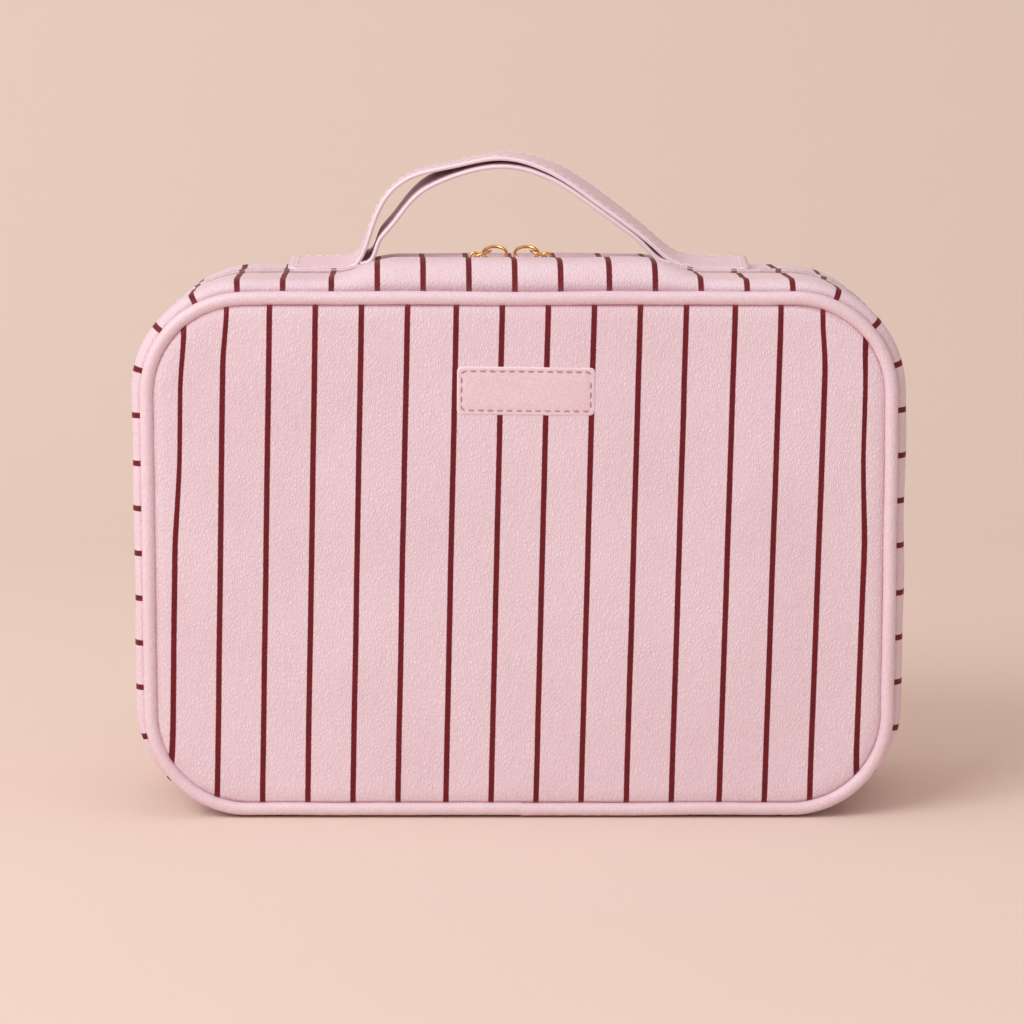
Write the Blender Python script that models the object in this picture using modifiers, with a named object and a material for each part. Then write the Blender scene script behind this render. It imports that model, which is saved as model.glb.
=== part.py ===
"""Soft makeup train case: two leather shells that a zip joins round three sides and a fold in the base hinges.

Metres, +Z up, +X to the right seen from the front, +Y towards the back. The origin is on the floor under
the middle of the case. The zip lies in the plane y = 0, the lid in front of it and the main shell behind it.
"""

import math

import bmesh
import bpy
from mathutils import Matrix, Vector
from mathutils.geometry import interpolate_bezier

# Driving dimensions.
SEAM_HALF_WIDTH = 0.1327  # centre of the piping, at each side
SEAM_BOTTOM = 0.0033
SEAM_TOP = 0.1882
CORNER_RADIUS = 0.035
PIPING_RADIUS = 0.0025
PIPING_Y = 0.047  # centre of each piping, in front of and behind the zip
GAP = 0.0003

# Leather, board and lining.
LEATHER = 0.0012
PANEL_THICKNESS = 0.0028
BOARD_THICKNESS = 0.0012
LINING_THICKNESS = 0.0008
BASE_BOARD_THICKNESS = 0.0021
BASE_BOARD_MARGIN = 0.0012
BASE_BOARD_END_MARGIN = 0.0027
GUSSET_START_Y = 0.0442
CORNER_X = SEAM_HALF_WIDTH - CORNER_RADIUS
PANEL_INSET = PIPING_RADIUS + GAP
PANEL_Y = 0.0463  # middle of each outer panel
BOARD_Y = PANEL_Y - PANEL_THICKNESS / 2 - GAP - BOARD_THICKNESS / 2
BOARD_INSET = 0.0037
LINING_Y = BOARD_Y - BOARD_THICKNESS / 2 - GAP
BASE_SINK = 0.0029  # how much less the walls bulge where they meet the flat base
SINK_WIDTH = 0.0040  # the distance from the gusset's seam over which that builds up

# The top swells between the handle's ends: full height inside LIFT_FULL, none outside LIFT_NONE.
LIFT_FULL = 0.044
LIFT_NONE = 0.070
FRONT_CREST_RISE = 0.0065
ZIP_RISE = 0.0040
ZIP_LEVEL = SEAM_TOP + ZIP_RISE

# Zip, measured outwards from the seam line.
CHAIN_TOP = 0.0050
CHAIN_HEIGHT = 0.0024
CHAIN_OUTER_Y = 0.0022
CHAIN_INNER_Y = 0.0006
TAPE_TOP = 0.0039
TAPE_THICKNESS = 0.0008
TAPE_OUTER_Y = 0.0085
ZIP_MEET_X = -0.003  # where the two sliders meet
PLATE_THICKNESS = 0.0011
SLIDER_LENGTH = 0.0082
SLIDER_WIDTH = 0.0080
SLIDER_NOSE = 0.0090  # from the meeting point to the slider's nose
SLIDER_POST_WIDTH = 0.0006
BAIL_X = -0.0132  # from the meeting point, on the left slider
BAIL_HALF_SPAN = 0.0015
BAIL_RADIUS = 0.0004
BAIL_HEIGHT = 0.0025
BAIL_BEND = 0.0006
LINK_WIRE = 0.0004
LINK_LENGTH = 0.0062
LINK_HALF_WIDTH = 0.0031
LINK_CLEARANCE = 0.0009  # between the slider and the link
RING_RADIUS = 0.0042
RING_WIRE = 0.00065
RING_X = -0.0058
RING_Z = 0.2009
RING_LEAN = math.radians(60)

# Handle: two straps on top of each other, sewn down at both ends on the rear gusset strip.
STRAP_WIDTH = 0.028
STRAP_THICKNESS = 0.0018
STRAP_Y = 0.0200
PAD_END_X = 0.0854
PAD_START_X = 0.0640
LOWER_FEET_X = (-0.0570, 0.0525)  # where the lower strap ends, left and right
ARCH_BASE_Z = 0.2120
PAD_STEPS = 5
PAD_CLEARANCE = 0.0004
BEND_REACH = 0.35  # how far each end's direction shapes a bend, as a share of its length
BEND_STEPS = 7
BEND_SLOPE = 0.5  # a bend leaves its foot rising, clear of the swelling top
BEND_GAP = 0.0009
REAR_OFFSET = 0.0060  # the rear strip's flat top, out from the seam line

# Interior.
DIVIDER_THICKNESS = 0.0050
DIVIDER_FRONT_Y = 0.0090
DIVIDER_BACK_Y = LINING_Y - LINING_THICKNESS - GAP
DIVIDER_INSET = 0.0036  # from the seam line to the ends of the dividers
SHELF_Z = 0.0930
SHORT_DIVIDER_X = 0.0430
POCKET_HALF_WIDTH = 0.115
POCKET_BOTTOM = 0.020
POCKET_TOP = 0.098
POCKET_THICKNESS = 0.0012
ELASTIC_THICKNESS = 0.0020
ELASTIC_WIDTH = 0.0100

# Label patch on the front panel.
LABEL_SIZE = (0.0490, 0.0168)
LABEL_THICKNESS = 0.0015
LABEL_CENTRE = (0.0025, 0.1553)
LABEL_TILT = math.radians(-0.5)

PINK = (0.80, 0.58, 0.60)
LIGHT_PINK = (0.82, 0.61, 0.64)
GOLD = (0.72, 0.45, 0.20)
BOARD_GREY = (0.55, 0.52, 0.48)
LINING_ROSE = (0.52, 0.22, 0.24)

FRONT = -1
BACK = 1


def start_scene():
    """An empty scene with one collection for the parts and one for the pieces that only serve a Boolean."""
    for obj in list(bpy.data.objects):
        bpy.data.objects.remove(obj)
    parts = bpy.data.collections.new("makeup_train_case")
    helpers = bpy.data.collections.new("helpers")
    helpers.hide_render = True
    for collection in (parts, helpers):
        bpy.context.scene.collection.children.link(collection)
    return parts, helpers


PARTS, HELPERS = start_scene()


def material(name, colour, roughness, metallic=0.0):
    made = bpy.data.materials.new(name)
    made.use_nodes = True
    shader = made.node_tree.nodes["Principled BSDF"]
    shader.inputs["Base Color"].default_value = (*colour, 1.0)
    shader.inputs["Roughness"].default_value = roughness
    shader.inputs["Metallic"].default_value = metallic
    return made


def add_part(name, data, colour, roughness=0.5, metallic=0.0):
    part = bpy.data.objects.new(name, data)
    PARTS.objects.link(part)
    data.materials.append(material(name, colour, roughness, metallic))
    return part


def add_helper(name, data):
    helper = bpy.data.objects.new(name, data)
    HELPERS.objects.link(helper)
    helper.hide_render = True
    helper.display_type = "WIRE"
    return helper


def unite(part, helper):
    boolean = part.modifiers.new("join_" + helper.name, "BOOLEAN")
    boolean.operation = "UNION"
    boolean.object = helper


def bevel(part, width, segments=2):
    rounding = part.modifiers.new("rounded", "BEVEL")
    rounding.width = width
    rounding.segments = segments
    rounding.limit_method = "ANGLE"


def mesh_of(bm, name):
    mesh = bpy.data.meshes.new(name)
    bm.to_mesh(mesh)
    bm.free()
    return mesh


def box_mesh(name, low, high):
    """A box between two opposite corners."""
    bm = bmesh.new()
    middle = (Vector(low) + Vector(high)) / 2
    size = Vector(high) - Vector(low)
    bmesh.ops.create_cube(bm, size=1.0, matrix=Matrix.Translation(middle) @ Matrix.Diagonal((*size, 1.0)))
    return mesh_of(bm, name)


def arc(centre, radius, start, end, steps):
    """Points (x, z) with their outward direction, from angle start to end in degrees."""
    found = []
    for step in range(steps + 1):
        angle = math.radians(start + (end - start) * step / steps)
        out = Vector((math.cos(angle), math.sin(angle)))
        found.append((Vector(centre) + out * radius, out))
    return found


def seam_line(closed, corner_steps=7, top_steps=14):
    """The seam's rounded rectangle in (x, z), clockwise from the left end of the base, with outward directions.

    Open, it ends where the base starts: the run that the zip and the gusset strips follow.
    """
    low, high = SEAM_BOTTOM + CORNER_RADIUS, SEAM_TOP - CORNER_RADIUS
    line = arc((-CORNER_X, low), CORNER_RADIUS, 270, 180, corner_steps)
    line += arc((-CORNER_X, high), CORNER_RADIUS, 180, 90, corner_steps)
    up = Vector((0, 1))
    for step in range(1, top_steps):
        line.append((Vector((-CORNER_X + 2 * CORNER_X * step / top_steps, SEAM_TOP)), up))
    line += arc((CORNER_X, high), CORNER_RADIUS, 90, 0, corner_steps)
    line += arc((CORNER_X, low), CORNER_RADIUS, 0, -90, corner_steps)
    if closed:
        line.append((Vector((0, SEAM_BOTTOM)), Vector((0, -1))))
    return line


def smooth(value):
    value = min(max(value, 0.0), 1.0)
    return value * value * (3 - 2 * value)


def lift(x):
    """1 on the top between the handle's ends, falling to 0 at the corners."""
    return smooth((LIFT_NONE - abs(x)) / (LIFT_NONE - LIFT_FULL))


def shell_point(spot, side, y, offset, rise):
    """A point out from the seam line by offset, at y in front of or behind the zip, raised on the top by rise."""
    point, out = spot
    sink = BASE_SINK * smooth(-out.y) * min((GUSSET_START_Y - y) / SINK_WIDTH, 1.0)
    place = point + out * (offset - sink)
    on_top = out.y > 0
    return Vector((place.x, side * y, place.y + (rise * lift(place.x) if on_top else 0.0)))


def add_wall(name, side, profile, thickness, colour, roughness, tray=False):
    """A sheet along the seam line, thickened inwards. profile rows are (y, offset, rise). A tray has a floor."""
    line = seam_line(closed=tray)
    bm = bmesh.new()
    rows = []
    for y, offset, rise in profile:
        rows.append([bm.verts.new(shell_point(spot, side, y, offset, rise)) for spot in line])
    last = len(line) if tray else len(line) - 1
    for first, second in zip(rows, rows[1:]):
        for step in range(last):
            after = (step + 1) % len(line)
            bm.faces.new((first[step], first[after], second[after], second[step]))
    if tray:
        bm.faces.new(rows[0][::-1])
    if side == BACK:
        bmesh.ops.reverse_faces(bm, faces=bm.faces)
    mesh = mesh_of(bm, name)
    mesh.shade_smooth()
    part = add_part(name, mesh, colour, roughness)
    solid = part.modifiers.new("thickness", "SOLIDIFY")
    solid.thickness = thickness
    solid.offset = -1.0
    solid.use_even_offset = True


def plate(name, inset, y, thickness, colour, roughness):
    """A flat plate of the seam line's outline, drawn in by inset."""
    curve = bpy.data.curves.new(name, "CURVE")
    curve.dimensions = "2D"
    curve.fill_mode = "BOTH"
    curve.extrude = thickness / 2
    spots = seam_line(closed=False, top_steps=1)
    spline = curve.splines.new("POLY")
    spline.points.add(len(spots) - 1)
    for target, (point, out) in zip(spline.points, spots):
        place = point - out * inset
        target.co = (place.x, place.y, 0.0, 1.0)
    spline.use_cyclic_u = True
    part = add_part(name, curve, colour, roughness)
    part.rotation_euler = (math.radians(90), 0, 0)
    part.location = (0, y, 0)
    return part


def wire(name, points, radius, closed, resolution=2):
    """Curve data of a round wire through the points."""
    curve = bpy.data.curves.new(name, "CURVE")
    curve.dimensions = "3D"
    curve.bevel_depth = radius
    curve.bevel_resolution = resolution
    curve.use_fill_caps = True
    spline = curve.splines.new("POLY")
    spline.points.add(len(points) - 1)
    for target, point in zip(spline.points, points):
        target.co = (*point, 1.0)
    spline.use_cyclic_u = closed
    return curve


def piping(name, side):
    spots = seam_line(closed=True, top_steps=4)
    points = [Vector((point.x, side * PIPING_Y, point.y)) for point, _ in spots]
    return add_part(name, wire(name, points, PIPING_RADIUS, closed=True), LIGHT_PINK, 0.45)


def front_gusset(name):
    """The leather strip from the piping to the zip, over the top and down both sides, highest near the front."""
    profile = [
        (GUSSET_START_Y, 0.0010, 0.0),
        (0.0425, 0.0045, FRONT_CREST_RISE * 0.45),
        (0.0390, 0.0060, FRONT_CREST_RISE * 0.85),
        (0.0320, 0.0062, FRONT_CREST_RISE),
        (0.0140, 0.0061, FRONT_CREST_RISE * 0.8 + ZIP_RISE * 0.2),
        (0.0050, 0.0057, ZIP_RISE),
    ]
    add_wall(name, FRONT, profile, LEATHER, PINK, 0.5)


def rear_gusset(name):
    """The rear strip, which is level where the handle is sewn on."""
    profile = [
        (GUSSET_START_Y, 0.0010, 0.0),
        (0.0425, 0.0045, ZIP_RISE * 0.7),
        (0.0390, REAR_OFFSET, ZIP_RISE),
        (0.0050, REAR_OFFSET - 0.0002, ZIP_RISE),
    ]
    add_wall(name, BACK, profile, LEATHER, PINK, 0.5)


def zip_half(prefix, side):
    """The tape and the chain of teeth on one side of the zip."""
    tape = [(TAPE_OUTER_Y, TAPE_TOP, ZIP_RISE), (CHAIN_OUTER_Y + GAP, TAPE_TOP, ZIP_RISE)]
    add_wall(prefix + "_zip_tape", side, tape, TAPE_THICKNESS, LIGHT_PINK, 0.8)
    chain = [(CHAIN_OUTER_Y, CHAIN_TOP, ZIP_RISE), (CHAIN_INNER_Y, CHAIN_TOP, ZIP_RISE)]
    add_wall(prefix + "_zip_chain", side, chain, CHAIN_HEIGHT, GOLD, 0.3)


def lining(name, side):
    """The cloth tray inside one shell."""
    profile = [
        (LINING_Y, -0.0040, 0.0),
        (LINING_Y - 0.0016, -0.0010, 0.0),
        (0.0370, 0.0022, ZIP_RISE * 0.7),
        (0.0095, 0.0020, ZIP_RISE * 0.7),
    ]
    add_wall(name, side, profile, LINING_THICKNESS, LINING_ROSE, 0.9, tray=True)


def base_half(prefix, side):
    """Half of the base strip, which folds at y = 0, and the board that stiffens it."""
    half_length = CORNER_X - GAP
    ends = sorted((side * GAP / 2, side * GUSSET_START_Y))
    low, high = (-half_length, ends[0], 0.0), (half_length, ends[1], LEATHER)
    add_part(prefix + "_base_gusset", box_mesh(prefix + "_base_gusset", low, high), PINK, 0.5)
    board_low = LEATHER + GAP
    ends = sorted((side * GAP, side * (GUSSET_START_Y - BASE_BOARD_MARGIN)))
    half_length = CORNER_X - BASE_BOARD_END_MARGIN
    low, high = (-half_length, ends[0], board_low), (half_length, ends[1], board_low + BASE_BOARD_THICKNESS)
    add_part(prefix + "_base_board", box_mesh(prefix + "_base_board", low, high), BOARD_GREY, 0.8)


def shell(prefix, side):
    """Everything that the front and the back shell have in common."""
    plate(prefix + "_panel", PANEL_INSET, side * PANEL_Y, PANEL_THICKNESS, PINK, 0.5)
    plate(prefix + "_panel_board", BOARD_INSET, side * BOARD_Y, BOARD_THICKNESS, BOARD_GREY, 0.8)
    piping(prefix + "_piping", side)
    zip_half(prefix, side)
    lining(prefix + "_lining", side)
    base_half(prefix, side)


def label_patch():
    """The small sewn patch on the front panel, left plain."""
    face = -(PANEL_Y + PANEL_THICKNESS / 2 + GAP)
    half = Vector((LABEL_SIZE[0], LABEL_THICKNESS, LABEL_SIZE[1])) / 2
    patch = add_part("label_patch", box_mesh("label_patch", -half, half), LIGHT_PINK, 0.4)
    patch.location = (LABEL_CENTRE[0], face - LABEL_THICKNESS / 2, LABEL_CENTRE[1])
    patch.rotation_euler = (0, -LABEL_TILT, 0)
    bevel(patch, 0.0005)


def slider_mesh():
    """Top and bottom plates round the zip, joined by a thin post between its two chains. Nose towards +X."""
    top = ZIP_LEVEL + CHAIN_TOP + GAP
    bottom = ZIP_LEVEL + CHAIN_TOP - CHAIN_HEIGHT - GAP
    nose = -SLIDER_NOSE
    tail = nose - SLIDER_LENGTH
    half = SLIDER_WIDTH / 2
    upper = box_mesh("slider", (tail, -half, top), (nose, half, top + PLATE_THICKNESS))
    lower = box_mesh("slider_lower", (tail, -half, bottom - PLATE_THICKNESS), (nose, half, bottom))
    middle = PLATE_THICKNESS / 2
    post_half = SLIDER_POST_WIDTH / 2
    post_low = (nose - SLIDER_LENGTH * 0.49, -post_half, bottom - middle)
    post = box_mesh("slider_post", post_low, (nose - SLIDER_LENGTH * 0.18, post_half, top + middle))
    return upper, lower, post, top + PLATE_THICKNESS


def bail_points(base):
    """The arch on the slider that the pull's link hangs on, from inside the plate and back into it."""
    low, high = base - PLATE_THICKNESS / 2, base + BAIL_HEIGHT
    near, far = BAIL_X - BAIL_HALF_SPAN, BAIL_X + BAIL_HALF_SPAN
    return [(near, 0, low), (near, 0, high - BAIL_BEND), (near + BAIL_BEND, 0, high),
            (far - BAIL_BEND, 0, high), (far, 0, high - BAIL_BEND), (far, 0, low)]


def curve_to_mesh(name, curve):
    """A curve's evaluated mesh with its caps welded on."""
    holder = bpy.data.objects.new(name, curve)
    bpy.context.scene.collection.objects.link(holder)
    graph = bpy.context.evaluated_depsgraph_get()
    mesh = bpy.data.meshes.new_from_object(holder.evaluated_get(graph))
    bpy.data.objects.remove(holder)
    bm = bmesh.new()
    bm.from_mesh(mesh)
    bmesh.ops.remove_doubles(bm, verts=bm.verts, dist=0.00001)
    bm.to_mesh(mesh)
    bm.free()
    mesh.name = name
    return mesh


def link_points(steps=6):
    """A long flat loop: its near bar passes under the bail, and the ring hangs in its far end."""
    found = [(0.0, -LINK_HALF_WIDTH, 0.0), (0.0, LINK_HALF_WIDTH, 0.0)]
    straight = LINK_LENGTH - LINK_HALF_WIDTH
    for step in range(steps + 1):
        angle = math.radians(90 - 180 * step / steps)
        found.append((straight + LINK_HALF_WIDTH * math.cos(angle), LINK_HALF_WIDTH * math.sin(angle), 0.0))
    return found


def ring_mesh():
    """The pull's round ring, in the plane y = 0."""
    bpy.ops.mesh.primitive_torus_add(
        major_radius=RING_RADIUS, minor_radius=RING_WIRE, major_segments=24, minor_segments=8)
    holder = bpy.context.object
    mesh = holder.data
    bpy.data.objects.remove(holder)
    mesh.transform(Matrix.Rotation(math.radians(90), 4, "X"))
    mesh.shade_smooth()
    return mesh


def zip_pull(side_name, turn):
    """One slider with its link and its ring. turn is 0 for the left one, half a turn for the right one."""
    upper, lower, post, plate_top = slider_mesh()
    bail = curve_to_mesh("slider_bail", wire("slider_bail", bail_points(plate_top), BAIL_RADIUS, closed=False))
    slider = add_part("zip_slider_" + side_name, upper, GOLD, 0.25, 1.0)
    for mesh in (lower, post, bail):
        unite(slider, add_helper(mesh.name + "_" + side_name, mesh))

    link = add_part("zip_link_" + side_name, wire("zip_link", link_points(), LINK_WIRE, closed=True), GOLD, 0.25, 1.0)
    bar_z = plate_top + LINK_CLEARANCE + LINK_WIRE
    slope = math.atan2(RING_Z - bar_z, RING_X - RING_RADIUS - BAIL_X)
    link.location = (BAIL_X, 0, bar_z)
    link.rotation_euler = (0, -slope, 0)

    ring = add_part("zip_ring_" + side_name, ring_mesh(), GOLD, 0.25, 1.0)
    ring.location = (RING_X, 0, RING_Z)
    ring.rotation_euler = (-RING_LEAN * math.cos(turn), 0, 0)

    place = bpy.data.objects.new("zip_pull_place_" + side_name, None)
    PARTS.objects.link(place)
    place.location = (ZIP_MEET_X, 0, 0)
    place.rotation_euler = (0, 0, turn)
    for piece in (slider, link, ring, *[h for h in HELPERS.objects if h.name.endswith("_" + side_name)]):
        piece.parent = place


def curve_through(points, steps):
    """A smooth line through the points (Catmull-Rom), with steps stretches between each two."""
    spots = [Vector(point) for point in points]
    spots = [2 * spots[0] - spots[1], *spots, 2 * spots[-1] - spots[-2]]
    found = []
    for before, start, end, after in zip(spots, spots[1:], spots[2:], spots[3:]):
        for step in range(steps):
            t = step / steps
            found.append(0.5 * (2 * start + (end - before) * t
                                + (2 * before - 5 * start + 4 * end - after) * t * t
                                + (3 * start - before - 3 * end + after) * t ** 3))
    found.append(spots[-2])
    return found


# The lower strap's middle line in (x, z), from the left bend over the top to the right bend.
ARCH = [(-0.0575, 0.2000), (-0.0475, 0.2112), (-0.0340, 0.2256), (-0.0090, 0.2335), (0.0120, 0.2292),
        (0.0340, 0.2145), (0.0520, 0.2005)]
STRAP_PARTING = 0.0055  # how far the upper strap bows away from the lower one on the left
PARTED_SHARE = 0.45  # the share of the arch over which it does


def upper_strap(line):
    """The upper strap's middle line, which bows away from the lower strap over its left part."""
    found = []
    for index, point in enumerate(line):
        before, after = line[max(index - 1, 0)], line[min(index + 1, len(line) - 1)]
        along = (after - before).normalized()
        out = Vector((-along.y, along.x))
        share = index / (len(line) - 1) / PARTED_SHARE
        bow = math.sin(math.pi * min(share, 1.0)) ** 2 * STRAP_PARTING
        found.append(point + out * (STRAP_THICKNESS + GAP + bow))
    return found


def strap_band(name, line):
    """A band of the strap's width whose side view follows the line."""
    sides = ([], [])
    for index, point in enumerate(line):
        before, after = line[max(index - 1, 0)], line[min(index + 1, len(line) - 1)]
        along = (after - before).normalized()
        out = Vector((-along.y, along.x)) * STRAP_THICKNESS / 2
        sides[0].append(point + out)
        sides[1].append(point - out)
    outline = sides[0] + sides[1][::-1]
    curve = bpy.data.curves.new(name, "CURVE")
    curve.dimensions = "2D"
    curve.fill_mode = "BOTH"
    curve.extrude = STRAP_WIDTH / 2
    spline = curve.splines.new("POLY")
    spline.points.add(len(outline) - 1)
    for target, point in zip(spline.points, outline):
        target.co = (point.x, point.y, 0.0, 1.0)
    spline.use_cyclic_u = True
    part = add_part(name, curve, LIGHT_PINK, 0.45)
    part.rotation_euler = (math.radians(90), 0, 0)
    part.location = (0, STRAP_Y, 0)
    return part


def on_rear_strip(x):
    """The middle of a strap that lies on the rear gusset strip at x, in (x, z)."""
    surface = SEAM_TOP + REAR_OFFSET + ZIP_RISE * lift(x)
    return Vector((x, surface + PAD_CLEARANCE + STRAP_THICKNESS / 2))


def pad_line(sign):
    """The middle line of a sewn end, from its free edge inwards."""
    found = []
    for step in range(PAD_STEPS + 1):
        found.append(on_rear_strip(sign * (PAD_END_X + (PAD_START_X - PAD_END_X) * step / PAD_STEPS)))
    return found


def handle_bend(name, sign, foot, arch):
    """The stretch of one strap between its foot on the rear strip and the arch, which flexes."""
    end, before = (arch[0], arch[1]) if sign < 0 else (arch[-1], arch[-2])
    along = (before - end).normalized()
    finish = end - along * BEND_GAP
    reach = (finish - foot).length * BEND_REACH
    leaving = foot + Vector((-sign, BEND_SLOPE)) * reach
    bend = interpolate_bezier(foot, leaving, finish - along * reach, finish, BEND_STEPS)
    strap_band(name, bend if sign < 0 else bend[::-1])


def handle():
    """Two straps in an arch over the top. The upper one ends in the two sewn ends, the lower one just inside them."""
    lower_line = curve_through(ARCH, 6)
    upper_line = upper_strap(lower_line)
    kept = [index for index, point in enumerate(lower_line) if point.y >= ARCH_BASE_Z]
    feet = {"lower": LOWER_FEET_X, "upper": (BEND_GAP - PAD_START_X, PAD_START_X - BEND_GAP)}
    for strap, line in (("lower", lower_line), ("upper", upper_line)):
        arch = [line[index] for index in kept]
        strap_band("handle_%s_strap" % strap, arch)
        for side_name, sign, foot_x in zip(("left", "right"), (-1, 1), feet[strap]):
            handle_bend("handle_%s_bend_%s" % (strap, side_name), sign, on_rear_strip(foot_x), arch)
    for side_name, sign in (("left", -1), ("right", 1)):
        pad = pad_line(sign)
        strap_band("handle_end_" + side_name, pad if sign < 0 else pad[::-1])


def divider(name, low, high):
    part = add_part(name, box_mesh(name, low, high), LINING_ROSE, 0.9)
    bevel(part, 0.0012)
    return part


def interior():
    """Padded dividers in the main shell and a flat cloth pocket in the lid."""
    inner = SEAM_HALF_WIDTH - DIVIDER_INSET
    half = DIVIDER_THICKNESS / 2
    divider("shelf_divider", (-inner, DIVIDER_FRONT_Y, SHELF_Z - half), (inner, DIVIDER_BACK_Y, SHELF_Z + half))
    low, high = SHELF_Z + half + GAP * 2, SEAM_TOP - DIVIDER_INSET
    for name, x in (("left_divider", -SHORT_DIVIDER_X), ("right_divider", SHORT_DIVIDER_X)):
        part = divider(name, (-half, DIVIDER_FRONT_Y, low), (half, DIVIDER_BACK_Y, high))
        part.location = (x, 0, 0)
    back_y = -(LINING_Y - LINING_THICKNESS - GAP)
    half, front_y = POCKET_HALF_WIDTH, back_y + POCKET_THICKNESS
    pocket = box_mesh("lid_pocket", (-half, back_y, POCKET_BOTTOM), (half, front_y, POCKET_TOP))
    bevel(add_part("lid_pocket", pocket, LINING_ROSE, 0.9), POCKET_THICKNESS / 3, 1)
    low, front_y = POCKET_TOP + GAP, back_y + ELASTIC_THICKNESS
    trim = box_mesh("lid_pocket_elastic", (-half, back_y, low), (half, front_y, low + ELASTIC_WIDTH))
    bevel(add_part("lid_pocket_elastic", trim, PINK, 0.8), ELASTIC_THICKNESS / 4, 1)


shell("front", FRONT)
front_gusset("front_gusset")
label_patch()
shell("back", BACK)
rear_gusset("back_gusset")
zip_pull("left", 0.0)
zip_pull("right", math.pi)
handle()
interior()
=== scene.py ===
"""Looks of the makeup train case: striped leather, piping, zip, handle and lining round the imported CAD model.

Metres, +Z up. Sizes come from the CAD nodes' boxes, so the looks follow the frame. Lengths in node
materials are in millimetres, because grain and stripes are easier to read in them.
"""

import math

import bmesh
import bpy
from mathutils import Matrix, Vector, noise
from mathutils.geometry import interpolate_bezier


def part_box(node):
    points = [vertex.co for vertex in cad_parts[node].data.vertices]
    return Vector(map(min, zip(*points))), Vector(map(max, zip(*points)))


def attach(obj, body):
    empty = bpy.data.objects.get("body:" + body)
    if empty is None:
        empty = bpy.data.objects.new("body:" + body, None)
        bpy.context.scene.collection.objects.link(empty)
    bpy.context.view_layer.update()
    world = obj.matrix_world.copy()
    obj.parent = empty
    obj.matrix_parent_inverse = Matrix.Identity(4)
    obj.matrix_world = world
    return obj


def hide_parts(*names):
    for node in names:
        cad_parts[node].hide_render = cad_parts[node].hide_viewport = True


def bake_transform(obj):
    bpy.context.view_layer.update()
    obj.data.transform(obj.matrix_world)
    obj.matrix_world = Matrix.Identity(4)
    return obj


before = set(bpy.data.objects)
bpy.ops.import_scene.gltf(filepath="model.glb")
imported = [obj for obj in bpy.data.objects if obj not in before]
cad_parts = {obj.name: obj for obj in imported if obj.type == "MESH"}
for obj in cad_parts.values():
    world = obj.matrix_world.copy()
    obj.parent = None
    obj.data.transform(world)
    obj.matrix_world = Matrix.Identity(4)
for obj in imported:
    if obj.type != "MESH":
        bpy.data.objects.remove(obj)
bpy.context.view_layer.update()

# ---------------------------------------------------------------- sizes

MM = 0.001
GAP = 0.3 * MM
FRONT = -1
BACK = 1

pipe_low, pipe_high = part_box("front_piping")
PIPE = (pipe_high.y - pipe_low.y) / 2
PIPE_Y = -(pipe_high.y + pipe_low.y) / 2
HALF_WIDTH = (pipe_high.x - pipe_low.x) / 2 - PIPE
SEAM_BOTTOM = pipe_low.z + PIPE
SEAM_TOP = pipe_high.z - PIPE
CORNER_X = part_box("front_base_gusset")[1].x + GAP
CORNER = HALF_WIDTH - CORNER_X
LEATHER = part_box("front_base_gusset")[1].z
PANEL_FACE_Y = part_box("back_panel")[1].y
GUSSET_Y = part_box("back_gusset")[1].y
LINING_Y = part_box("back_lining")[1].y
CHAIN_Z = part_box("back_zip_chain")[1].z

# The CAD walls' swell on the top and their sink beside the flat base.
LIFT_FULL = 44 * MM
LIFT_NONE = 70 * MM
FRONT_RISE = 6.5 * MM
ZIP_RISE = 4.0 * MM
BASE_SINK = 2.9 * MM
SINK_WIDTH = 4.0 * MM
REAR_OFFSET = 6.0 * MM

# The handle's route: the lower strap's middle line in (x, z), from the left bend to the right one.
STRAP_Y = sum(corner.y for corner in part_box("handle_upper_strap")) / 2
STRAP_HALF = (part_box("handle_upper_strap")[1].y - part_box("handle_upper_strap")[0].y) / 2
STRAP = 1.8 * MM
PAD_END_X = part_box("handle_end_right")[1].x
PAD_START_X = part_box("handle_end_right")[0].x
ARCH_BASE_Z = 212 * MM
ARCH = [(-0.0575, 0.2000), (-0.0475, 0.2112), (-0.0340, 0.2256), (-0.0090, 0.2335), (0.0120, 0.2292),
        (0.0340, 0.2145), (0.0520, 0.2005)]
LOWER_FEET_X = (-57.0 * MM, 55.5 * MM)  # the right one reaches 3 mm past the CAD's, under the upper strap
STRAP_PARTING = 5.5 * MM
PARTED_SHARE = 0.45

# How far a strap's back edge is above its front one, as a share of its width: where it is sewn down, and in the
# arch on the left (the lower strap only) and on the right.
PAD_TILT = 0.10
LEFT_TILT = 0.10
RIGHT_TILT = 0.13

# The printed stripes: six at one pitch, then one wider gap.
STRIPE_PITCH = 16.3
STRIPES_IN_REPEAT = 6
WIDE_GAP = 17.3
STRIPE_WIDTH = 2.05
REPEAT = STRIPE_PITCH * (STRIPES_IN_REPEAT - 1) + WIDE_GAP
PANEL_PHASE = -24.3 * MM
STRIP_PHASE = -68.1 * MM
PANEL_LEAN = 0.0238
STRIP_LEAN = 0.033
CORNER_STRETCH = 3.5 * MM  # extra length of the strip's print for each radian of a corner


def srgb(red, green, blue):
    """A linear colour from 0-255 display values."""
    found = []
    for value in (red, green, blue):
        share = value / 255
        found.append(share / 12.92 if share <= 0.04045 else ((share + 0.055) / 1.055) ** 2.4)
    return (*found, 1.0)


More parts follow.
